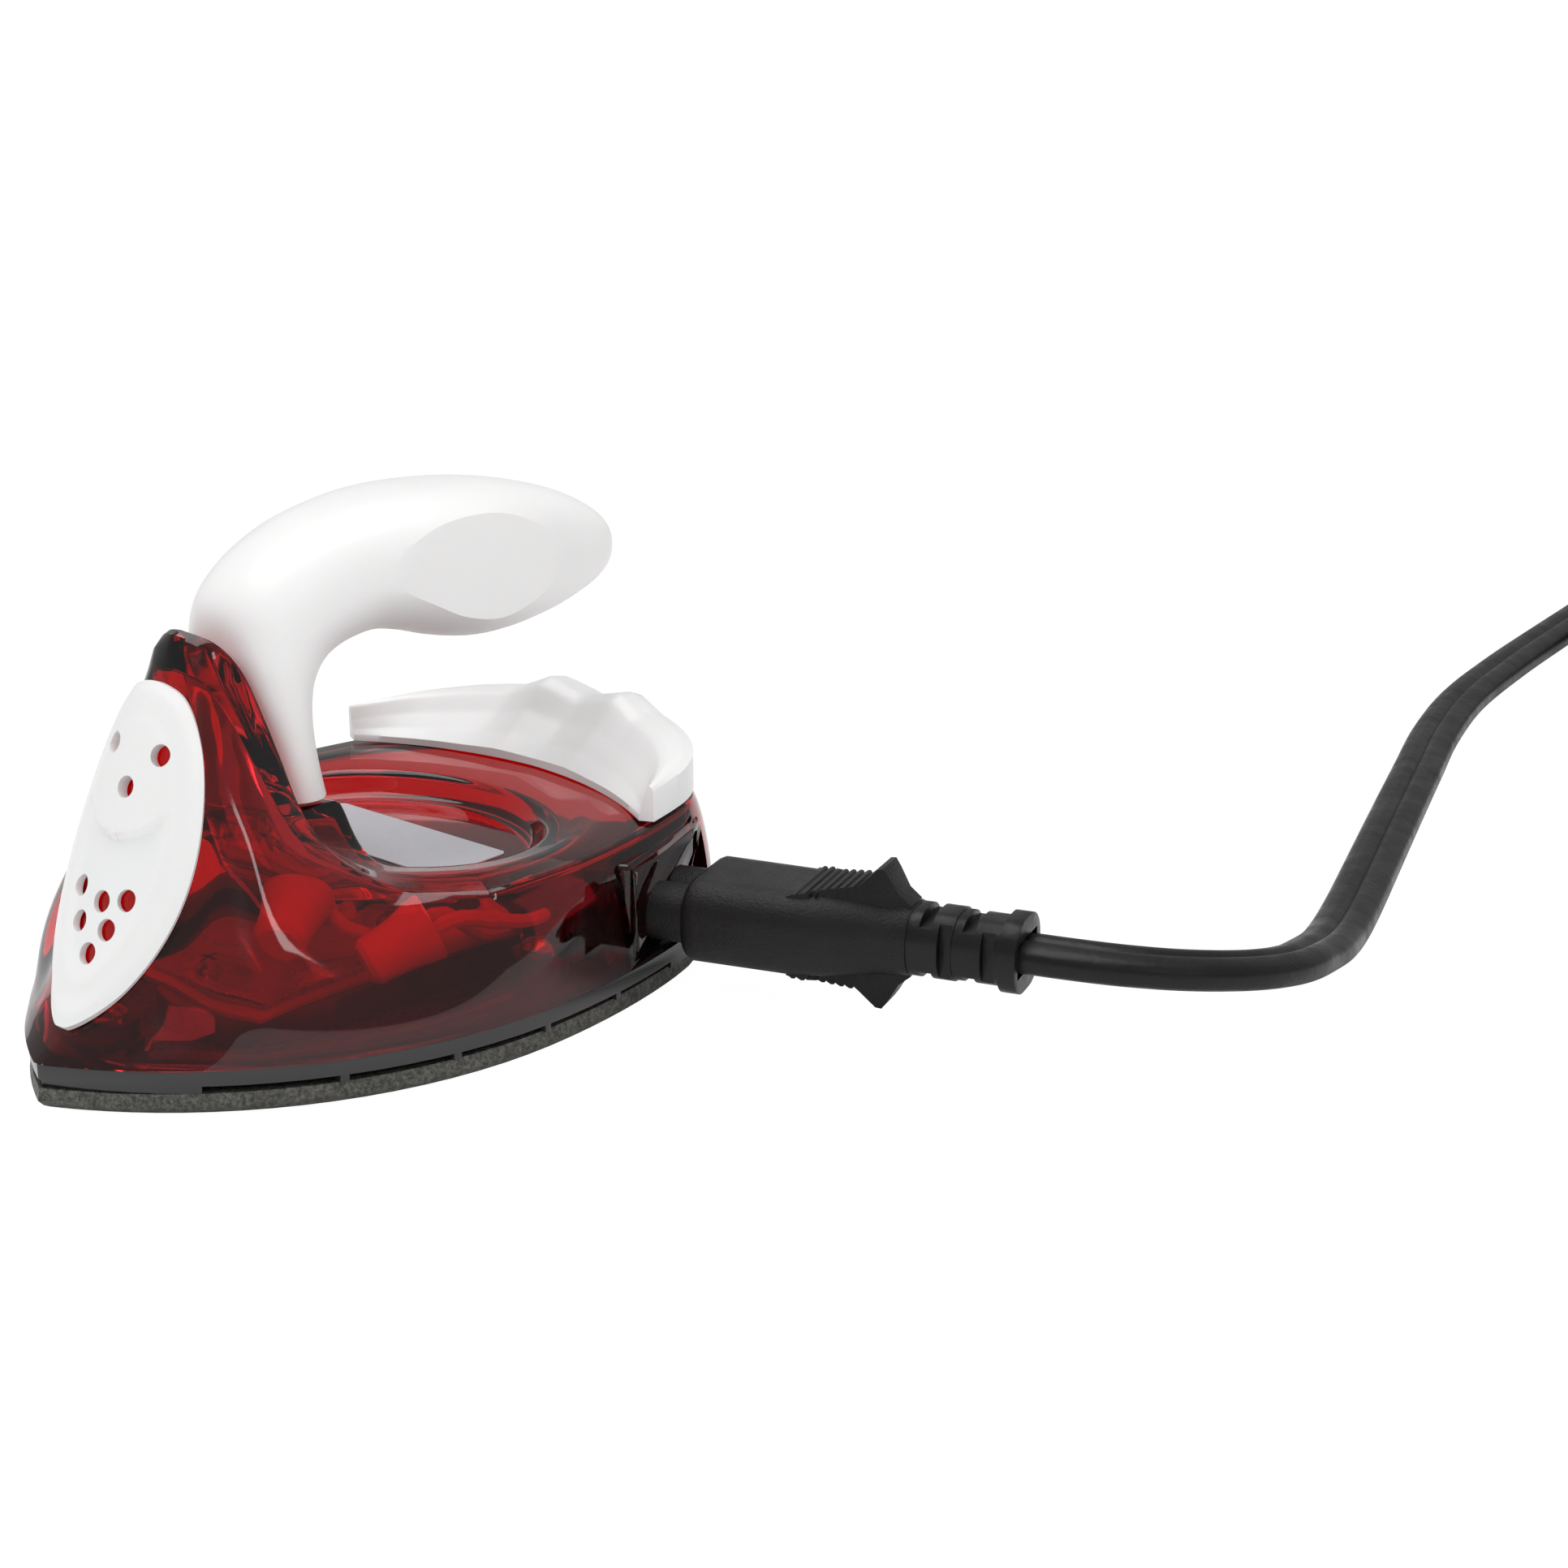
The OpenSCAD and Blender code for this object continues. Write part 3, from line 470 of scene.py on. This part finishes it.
def dress(name, key, bevel):
    """A CAD node that stays: its material, rounded edges in millimetres and smooth faces."""
    obj = nodes[name]
    if not obj.material_slots:
        obj.data.materials.append(materials[key])
    for slot in obj.material_slots:
        slot.material = materials[key]
    obj.data.polygons.foreach_set("use_smooth", [True] * len(obj.data.polygons))
    weld = obj.modifiers.new("weld", "WELD")
    weld.merge_threshold = MERGE
    if bevel:
        add_bevel(obj, bevel, 40)
    split = obj.modifiers.new("split", "EDGE_SPLIT")
    split.split_angle = math.radians(35)


for name, key, bevel in (
    ("soleplate", "sole", 0),
    ("heating_element", "sheath", 0.4),
    ("heater_terminals", "nickel", 0.1),
    ("mica_sheet", "mica", 0),
    ("element_clamp", "steel", 0.1),
    ("thermostat", "ceramic", 0.3),
    ("thermostat_lugs", "nickel", 0.1),
    ("thermal_fuse", "ceramic", 0.3),
    ("clamp_screws", "nickel", 0),
    ("crimp_caps", "cap", 0),
    ("lead_wires", "sleeve", 0),
    ("heat_skirt", "skirt", 0.12),
    ("shell_screws", "nickel", 0),
    ("handle_screws", "nickel", 0.1),
    ("inlet_housing", "grain", 0.3),
    ("inlet_pins", "nickel", 0),
    ("tray_label", "label", 0),
    ("connector_nose", "grain", 0.3),
    ("connector_contacts", "brass", 0),
    ("connector_relief", "cord", 0.18),
    ("cord_tie", "grain", 0.2),
    ("plug_relief", "grain", 0.2),
    ("plug_body", "grain", 0.3),
    ("plug_blades", "brass", 0.15),
):
    dress(name, key, bevel)
paint(cord, "cord")


# ---- the shell's surfaces, in millimetres from the nose --------------------------------------
# Here a runs from the middle of the nose (0) along one side to the middle of the tail (1), and
# t is how far a surface lies inside the shell's outer one.

SOLE_HALF, WIDEST_X = 35.0, 55.0
SHELL_LEN, SHELL_OUT, WALL = 104.0, 0.8, 1.8
BASE_Z, RIM_Z, LEDGE_Z, TOWER_Z = 6.2, 23.0, 31.0, 56.0
TRAY_X, TRAY_RX, TRAY_RY, TRAY_DEEP = 59.5, 17.5, 23.5, 3.5
SIDE_R, TAIL_LEN, TAIL_POWER = 105, 17, 2.7
EDGE_END = 0.46


def half_y(x, length, widest, widest_x):
    """Half width of the plan: two long arcs and a blunt tail."""
    if x < widest_x:
        r = (widest_x * widest_x + widest * widest) / (2 * widest)
        y = widest - r + math.sqrt(max(0, r * r - (widest_x - x) ** 2))
    else:
        y = widest - SIDE_R + math.sqrt(SIDE_R ** 2 - (x - widest_x) ** 2)
    k = min(1.0, max(0.0, (x - length + TAIL_LEN) / TAIL_LEN))
    return y * (1 - k ** TAIL_POWER) ** (1 / TAIL_POWER)


def along(a):
    return 0.5 - 0.5 * math.cos(math.pi * a)


def foot(a, t):
    x = 0.3 + t * 1.6 + (SHELL_LEN - 0.3 - t * 2.6) * along(a)
    y = half_y(x - t * 1.6, SHELL_LEN - t * 2.6, SOLE_HALF + SHELL_OUT - t, WIDEST_X - t)
    return Vector((x, y, BASE_Z))


edge_pts = [
    (26.3, 0, TOWER_Z), (28, 4.6, 54.6), (30, 6.9, 51), (31.6, 8.7, 45), (32.8, 10.4, 39),
    (34, 12.6, 32), (36, 16.4, 26.8), (40, 23.2, RIM_Z + 0.2), (48, 30.4, RIM_Z - 0.8),
]


def rim_pt(a):
    length = SHELL_LEN - 2.4
    x = length * along(a) + 1.2 * (1 - a)
    return Vector((x, half_y(x, length, SOLE_HALF + SHELL_OUT - 2.8, WIDEST_X), RIM_Z))


def edge_raw(a):
    """The wall's top edge: down the side of the tower, then along the rim."""
    if a < EDGE_END:
        return spline(edge_pts, a / EDGE_END)
    return Vector(edge_pts[-1]).lerp(rim_pt(a), ease((a - EDGE_END) / 0.12))


def towerness(a):
    """1 on the tower's edge, 0 on the rim."""
    return ease((edge_raw(a).z - RIM_Z - 0.5) / 8)


def edge(a, t):
    p = edge_raw(a)
    return Vector((
        p.x - t * 1.2 * max(ease((a - 0.7) * 4), towerness(a)),
        p.y - t * 1.3 * ease(a * 8),
        p.z - t * (1 + 1.6 * ease((p.z - RIM_Z) / 20)),
    ))


def blunt(p, t):
    """The middle of the nose is cut back to a round front that leans back to the tower's top."""
    lean = 3.95 + 0.426 * (p.z - BASE_Z) - 3.7 * math.exp((BASE_Z - p.z) / 1.6)
    front = lean + p.y * p.y / 32 + 1.2 * t
    soft = 4 * ease((p.z - BASE_Z) / 8) * ease((TOWER_Z - p.z) / 8)
    middle = 1 - ease((abs(p.y) - 12) / 10)
    cut_back = (p.x + front + math.sqrt((p.x - front) ** 2 + soft * soft)) / 2
    return Vector((p.x + middle * (cut_back - p.x), p.y, p.z))


def wall_pt(a, v, t):
    """Point of the wall, with v from the foot (0) to the edge (1)."""
    low, top = foot(a, t), edge(a, t)
    lean = 0.82 * v * v + 0.18 * v ** 10
    x = low.x + (top.x - low.x) * lean
    y = low.y + (top.y - low.y) * lean
    return blunt(Vector((x, y, low.z + (top.z - low.z) * v)), t)


def tray_pt(a, k, z, t):
    """Point over the tray, with k from its middle (0) to its edge (1)."""
    e = edge(a, 0)
    g = math.atan2(e.y / TRAY_RY, (e.x - TRAY_X) / TRAY_RX)
    x = TRAY_X + (TRAY_RX * k + t) * math.cos(g)
    y = (TRAY_RY * k + t) * math.sin(g)
    return Vector((x, y, z - t))


def crest(a, t):
    return tray_pt(a, 1, RIM_Z - 0.2 + (LEDGE_Z - RIM_Z + 0.2) * towerness(a), t)


def ledge(a, t):
    """The flat between the edge and the tray, which rises to a ledge behind the tower."""
    e, c = edge(a, t), crest(a, t)
    low = Vector(((e.x + c.x) / 2, (e.y + c.y) / 2, RIM_Z - t + 0.5))
    high = Vector((33.6 - t, e.y * 0.55, LEDGE_Z + 0.5 - t))
    return low.lerp(high, towerness(a))


def rounded(p, corner, q, r, n=5):
    """Points that round the corner between p and q."""
    a = corner + (p - corner).normalized() * min(r, 0.45 * (p - corner).length)
    b = corner + (q - corner).normalized() * min(r, 0.45 * (q - corner).length)
    return [a.lerp(corner, i / n).lerp(corner.lerp(b, i / n), i / n) for i in range(n + 1)]


def shell_profile(a, t):
    """From the foot of the wall over the top edge and the ledge, down into the tray."""
    floor_z = RIM_Z - TRAY_DEEP
    top, flat, lip = edge(a, t), ledge(a, t), crest(a, t)
    low = tray_pt(a, 0.9, floor_z, t)
    mid = tray_pt(a, 0.45, floor_z, t)
    r = 0.9 if t == 0 else 0.4
    pts = [wall_pt(a, j / 24, t) for j in range(24)]
    pts.append(wall_pt(a, 0.985, t))
    pts += rounded(wall_pt(a, 0.96, t), top, flat, r)
    pts += [top.lerp(flat, k) for k in (0.3, 0.5, 0.7)]
    pts += rounded(top, flat, lip, 1.2)
    pts += [flat.lerp(lip, k) for k in (0.3, 0.5, 0.7)]
    pts += rounded(flat, lip, low, r)
    pts += [lip.lerp(low, k) for k in (0.35, 0.5, 0.65)]
    pts += rounded(lip, low, mid, r * 1.5)
    pts += [low.lerp(mid, k) for k in (0.4, 0.7, 1)]
    pts.append(tray_pt(a, 0.12, floor_z, t))
    return pts


def shell_mesh(name, half=110):
    """The outer surface from foot to tray, then the inner one back from tray to foot."""
    outer = [shell_profile(i / half, 0) for i in range(half + 1)]
    inner = [shell_profile(i / half, WALL) for i in range(half + 1)]
    around = 2 * half
    rows = len(outer[0])
    verts = []
    for surface, order in ((outer, range(rows)), (inner, range(rows - 1, -1, -1))):
        for j in order:
            near = [(p[j].x, -p[j].y, p[j].z) for p in surface]
            far = [tuple(surface[i][j]) for i in range(half - 1, 0, -1)]
            verts += [from_nose(v) for v in near + far]
    tray = (rows - 1) * around
    faces = [f for f in grid_faces(2 * rows, around) if not tray <= f[0] < tray + around]
    last = (2 * rows - 1) * around
    for i in range(around):
        j = (i + 1) % around
        faces.append((last + i, last + j, j, i))
    faces.append(tuple(tray + i for i in range(around)))
    faces.append(tuple(tray + around + i for i in range(around - 1, -1, -1)))
    obj = add_mesh(name, verts, faces)
    recalc(obj)
    return obj


INLET_W, INLET_TOP = 23, BASE_Z + 14.6
shell = shell_mesh("clear_shell")
inlet = block("inlet_frame", (0, -4, BASE_Z), (INLET_W, 0.6, INLET_TOP), at_inlet, 0.7, 4)
boolean(shell, block("cut", (-0.2, 0.6, 5), (INLET_W + 0.2, 7, INLET_TOP), at_inlet), "DIFFERENCE")
boolean(shell, inlet, "UNION")
opening = block("cut", (1.6, -7, BASE_Z + 1.2), (INLET_W - 1.6, 5, BASE_Z + 13.1), at_inlet, 0.9, 4)
boolean(shell, opening, "DIFFERENCE")
recalc(shell)
smooth(shell, 32)
paint(shell, "red")
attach(shell, "iron")
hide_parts("body_shell")


# ---- face plate ----------------------------------------------------------------------------

PLATE_Z, PLATE_UP, PLATE_ACROSS = 29.4, 20.2, 0.16
PLATE_BACK, PLATE_FRONT = 0.25, 1.75
HOLE_R = 1.4


def shell_at(a, z):
    """Point of the shell's front at a height, with a negative on one side of the nose."""
    side = -1 if a < 0 else 1
    p = wall_pt(abs(a), (z - BASE_Z) / (edge(abs(a), 0).z - BASE_Z), 0)
    return Vector((p.x, -side * p.y, p.z))


def shell_normal(a, z):
    across = shell_at(a + 0.004, z) - shell_at(a - 0.004, z)
    upward = shell_at(a, z + 0.3) - shell_at(a, z - 0.3)
    return across.cross(upward).normalized()


def smile(y, z, r):
    """How deep the face is carved: a sharp step under a smiling line, soft towards the rim."""
    line = 31.6 + 0.07 * y * y
    inside = 1 - ease((r - 0.58) / 0.2)
    fading = 1 - 0.35 * ease((line - z - 6) / 12)
    return 0.8 * ease((line - z + 0.3) / 0.8) * inside * fading


def plate_front(p, r):
    """How far the plate's front stands out: a rounded rim, a shallow step and the smile."""
    rim = 0.5 * ease((r - 0.9) / 0.1) ** 2
    step = 0.12 * ease((r - 0.76) / 0.05)
    return PLATE_FRONT - rim - step - smile(p.y, p.z, r)


def plate_mesh():
    """The front from its middle to its rim, then the back from the rim to its middle."""
    rings, around = 46, 132
    verts = []
    for front in (True, False):
        for i in range(rings + 1):
            r = 0.02 + 0.98 * (i / rings if front else 1 - i / rings)
            for j in range(around):
                g = 2 * math.pi * j / around
                s, c = math.sin(g), math.cos(g)
                z = PLATE_Z + PLATE_UP * r * s
                wide = math.copysign(abs(c) ** (0.8 if s < 0 else 1), c)
                a = PLATE_ACROSS * (1 + 0.05 * s) * r * wide
                p = shell_at(a, z)
                out = plate_front(p, r) if front else PLATE_BACK
                verts.append(from_nose(p + shell_normal(a, z) * out))
    return tube("face", verts, around)


face_holes = [
    (-0.067, 41.4), (0.067, 41.4), (0, 37.2), (-0.08, 24.7), (0, 24), (0.08, 24.7),
    (-0.055, 21), (0.055, 21), (0, 17.9),
]
face = plate_mesh()
for a, z in face_holes:
    normal = shell_normal(a, z)
    middle = Vector(from_nose(shell_at(a, z) + normal))
    turn = normal.to_track_quat("Z", "Y")
    bm = bmesh.new()
    bmesh.ops.create_cone(
        bm, cap_ends=True, segments=40, radius1=HOLE_R * MM, radius2=HOLE_R * MM, depth=8 * MM)
    for v in bm.verts:
        v.co = turn @ v.co + middle * MM
    boolean(face, add_bmesh("cut", bm), "DIFFERENCE")
smooth(face, 34)
paint(face, "white")
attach(face, "iron")
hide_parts("face_plate")


# ---- handle --------------------------------------------------------------------------------

# each cut across the handle: its top, its underside and its half width
handle_cuts = [
    ((34.6, 31.9), (44.2, 31.9), 8.6), ((34, 36), (43.2, 35.6), 8.8), ((33.2, 41), (42.4, 40), 9),
    ((31.9, 47), (42.6, 44), 9.2), ((31.2, 52.5), (43.8, 46.8), 9.4),
    ((32.6, 58), (46.2, 48.8), 9.6), ((37.4, 62.4), (50, 50), 10.2),
    ((44.4, 65.6), (54.5, 50.3), 11), ((52.4, 67.2), (59.5, 49.2), 12.6),
    ((60.6, 67.8), (64.5, 47.6), 14.6), ((68.6, 67.6), (70, 46.4), 15),
    ((76.4, 66.8), (76, 45.9), 13.2), ((84, 65.2), (82.4, 46.1), 11.2),
    ((90.4, 63), (88.4, 47), 9.8), ((95.4, 60.2), (93.6, 48.8), 8.4),
    ((98.4, 57.2), (97.2, 51.4), 5),
]
# how the handle's end closes: the size of each last ring and how far it is pushed out
handle_end = ((0.94, 0.35), (0.82, 0.75), (0.6, 1.1), (0.3, 1.3), (0.05, 1.35))
HANDLE_FLAT_Y = 11.6


def handle_ring(t, size, push, around):
    top = spline([(c[0][0], 0, c[0][1]) for c in handle_cuts], t)
    low = spline([(c[1][0], 0, c[1][1]) for c in handle_cuts], t)
    half = spline([(c[2], 0, 0) for c in handle_cuts], t).x
    middle, upward = (top + low) / 2, (top - low) / 2
    ring = []
    for i in range(around):
        g = 2 * math.pi * i / around
        s, c = math.sin(g), math.cos(g)
        wide = math.copysign(abs(s) ** 0.74, s) * (1 - 0.2 * min(1, max(0, -c)) ** 1.5)
        high = math.copysign(abs(c) ** 0.9, c)
        ring.append(from_nose(middle + upward * high * size + Vector((push, half * wide * size, 0))))
    return ring


def handle_mesh():
    around, rows = 96, 120
    verts = []
    for i in range(rows + 1):
        verts += handle_ring(i / rows, 1, 0, around)
    for size, push in handle_end:
        verts += handle_ring(1, size, push, around)
    return tube("grip", verts, around)


grip = handle_mesh()
boolean(grip, block("cut", (-60, -HANDLE_FLAT_Y, 0), (80, HANDLE_FLAT_Y, 90)), "INTERSECT")
smooth(grip, 30)
paint(grip, "white")
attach(grip, "iron")
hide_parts("handle_left", "handle_right")


# ---- heel rest -------------------------------------------------------------------------------

# height by distance from the middle plane, and the share of it by distance from the inner arc
heel_peaks = [(0, 7.4), (7, 9.2), (12, 7), (20, 6.2), (26, 5.4), (31, 4.4), (34, 3.6)]
heel_rise = [(0, 0.1), (0.2, 0.26), (0.42, 0.56), (0.6, 0.92), (0.72, 1), (0.88, 0.96), (1, 0.86)]
HEEL_START = 0.655
HEEL_ARC_X, HEEL_ARC_R = 28, 58
HEEL_FOOT, HEEL_EDGE = 0.55, 0.9


def lookup(x, table):
    for (x0, y0), (x1, y1) in zip(table, table[1:]):
        if x <= x1:
            return y0 + (y1 - y0) * max(0.0, (x - x0) / (x1 - x0))
    return table[-1][1]


def heel_side(s):
    return rim_pt(HEEL_START * (1 - s) + s) + Vector((0.4, 0, 0))


def heel_mesh():
    n, m = 88, 34
    tops, lows = [], []
    start = heel_side(0).y
    for i in range(n + 1):
        u = 2 * i / n - 1
        q = 1 - abs(u) * 0.93
        side = 1 if u < 0 else -1
        y = start * (1 - q) * 0.985
        arc_x = HEEL_ARC_X + math.sqrt(HEEL_ARC_R ** 2 - y * y) - (1 - q) * 0.8
        arc = Vector((arc_x, y, RIM_Z))
        for j in range(m + 1):
            v = j / m
            p = arc.lerp(heel_side(q), v)
            high = HEEL_EDGE + lookup(abs(p.y), heel_peaks) * lookup(v, heel_rise)
            tops.append(from_nose((p.x, side * p.y, RIM_Z + high)))
            lows.append(from_nose((p.x, side * p.y, RIM_Z + HEEL_FOOT)))
    k = len(tops)
    faces = grid_faces(n + 1, m + 1, closed=False)
    faces += [tuple(reversed([c + k for c in f])) for f in faces]
    rim = list(range(m + 1))
    rim += [i * (m + 1) + m for i in range(1, n + 1)]
    rim += [n * (m + 1) + j for j in range(m - 1, -1, -1)]
    rim += [i * (m + 1) for i in range(n - 1, 0, -1)]
    for a, b in zip(rim, rim[1:] + rim[:1]):
        faces.append((a, b, b + k, a + k))
    obj = add_mesh("heel", tops + lows, faces)
    recalc(obj)
    return obj


heel = heel_mesh()
smooth(heel, 50)
paint(heel, "white")
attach(heel, "iron")
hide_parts("heel_rest")


# ---- connector ---------------------------------------------------------------------------------

CONNECTOR_OUT = 6
# distance from the connector's front, width, height and corner radius
connector_cuts = [
    (0, 16.2, 10.2, 4.0), (0.35, 17.0, 11.0, 4.4), (1.0, 17.6, 11.6, 4.6), (8, 17.6, 11.6, 4.7),
    (15, 17.4, 11.6, 4.7), (19, 16.2, 11.3, 4.7), (23, 13.8, 10.6, 4.5), (26.5, 11.8, 9.8, 4.2),
    (30, 10.7, 9.4, 4.1), (30.4, 10.4, 9.2, 4.0),
]
WEDGE_LOW = 3.6


def section(out, w, h, r, n=14):
    """Rounded rectangle round the connector's middle, at a distance out of the inlet."""
    pts = []
    for side, level, start in ((1, 1, 0), (-1, 1, 90), (-1, -1, 180), (1, -1, 270)):
        for i in range(n + 1):
            g = math.radians(start + 90 * i / n)
            x = side * (w / 2 - r) + r * math.cos(g)
            z = level * (h / 2 - r) + r * math.sin(g)
            pts.append(at_plug((x, out + CONNECTOR_OUT, z)))
    return pts


def connector_tube():
    verts = []
    for a, b in zip(connector_cuts, connector_cuts[1:]):
        steps = max(1, int((b[0] - a[0]) / 1.2))
        for s in range(steps):
            verts += section(*[p + (q - p) * s / steps for p, q in zip(a, b)])
    last = section(*connector_cuts[-1])
    return tube("connector_shell", verts + last, len(last))


def wedge_outline():
    """The grip's outline: it climbs in fine steps to a peak, then falls steeply to the neck."""
    outline = [(14.2, 4.0), (14.2, 5.55)]
    y = 14.6
    while y < 22.4:
        z = 5.62 + (y - 14.6) * 0.17
        outline += [(y, z), (y + 0.42, z + 0.28), (y + 0.8, z + 0.28), (y + 0.98, z)]
        y += 1.2
    outline += [(23.4, 7.4), (25.6, 9.6), (26.4, 9.75), (27.2, 8.6)]
    outline += [(28.6, 6.2), (30.2, 4.9), (30.2, 4.0)]
    return outline


def wedge(flip):
    """The arrow-shaped grip on the connector's top, or turned over (-1) on its underside."""
    bm = bmesh.new()
    rows = []
    for y, z in wedge_outline():
        half = 6.0 - 0.26 * max(0, y - 15)
        top_half = half * (1 if z < 6.2 else 0.86)
        row = []
        for x, level in ((-half, WEDGE_LOW), (-top_half, z), (top_half, z), (half, WEDGE_LOW)):
            row.append(bm.verts.new(Vector(at_plug((x, y + CONNECTOR_OUT, flip * level))) * MM))
        rows.append(row)
    for a, b in zip(rows, rows[1:]):
        for i in range(4):
            j = (i + 1) % 4
            bm.faces.new((a[i], a[j], b[j], b[i]))
    bm.faces.new(rows[0])
    bm.faces.new(rows[-1][::-1])
    bmesh.ops.recalc_face_normals(bm, faces=bm.faces)
    return add_bmesh("wedge", bm)


plug_in = connector_tube()
for flip in (1, -1):
    boolean(plug_in, wedge(flip), "UNION")
add_bevel(plug_in, 0.12, 35)
apply_all(plug_in)
smooth(plug_in, 40)
paint(plug_in, "grain")
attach(plug_in, "cord_set")
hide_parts("connector_body")


# ---- studio ----------------------------------------------------------------------------------------

FLOOR_HALF = 3
FLOOR_GLOW, FLOOR_GLOW_SHARE = 1.08, 0.9
WORLD_LIGHT, WORLD_SEEN = 0.42, 1.02

floor_corners = [(x * FLOOR_HALF, y * FLOOR_HALF, 0) for x, y in ((-1, -1), (1, -1), (1, 1), (-1, 1))]
floor = add_mesh("floor", floor_corners, [(0, 1, 2, 3)], scale=1.0)
floor.location.z = -0.0002
look = Look("floor", (0.9, 0.9, 0.9), 0.7)
look.tint(look.noise(3, 2), (0.93, 0.93, 0.93), (0.95, 0.95, 0.95))
look.value("Specular IOR Level", 0.1)
rays = look.nodes.new("ShaderNodeLightPath")
glow = look.nodes.new("ShaderNodeEmission")
glow.inputs["Strength"].default_value = FLOOR_GLOW
share = look.nodes.new("ShaderNodeMath")
share.operation = "MULTIPLY"
share.inputs[1].default_value = FLOOR_GLOW_SHARE
look.links.new(rays.outputs["Is Camera Ray"], share.inputs[0])
look.mix(share.outputs[0], glow.outputs[0])
floor.data.materials.append(look.material)

world = bpy.data.worlds.new("studio")
scene.world = world
world.use_nodes = True
background = world.node_tree.nodes["Background"]
background.inputs["Color"].default_value = (1, 1, 1, 1)
rays = world.node_tree.nodes.new("ShaderNodeLightPath")
strength = world.node_tree.nodes.new("ShaderNodeMapRange")
strength.inputs["To Min"].default_value = WORLD_LIGHT
strength.inputs["To Max"].default_value = WORLD_SEEN
world.node_tree.links.new(rays.outputs["Is Camera Ray"], strength.inputs["Value"])
world.node_tree.links.new(strength.outputs["Result"], background.inputs["Strength"])


def softbox(name, at, aim, size, watts, mirrored=True):
    data = bpy.data.lights.new(name, "AREA")
    data.shape = "RECTANGLE"
    data.size, data.size_y = size
    data.energy = watts
    obj = link(name, data)
    obj.location = at
    obj.rotation_euler = (Vector(aim) - Vector(at)).to_track_quat("-Z", "Y").to_euler()
    obj.visible_glossy = mirrored


softbox("key", (-0.75, -0.35, 0.75), (0, 0, 0.02), (0.45, 0.45), 3.4, mirrored=False)
softbox("fill", (0.6, -0.75, 0.45), (0, 0, 0.02), (0.4, 0.6), 2.2, mirrored=False)
softbox("top", (0.05, 0.25, 1.0), (0, 0, 0.02), (0.8, 0.8), 6)
softbox("window", (-0.2, -1.0, 0.9), (0, 0, 0.03), (0.12, 0.3), 0.6)
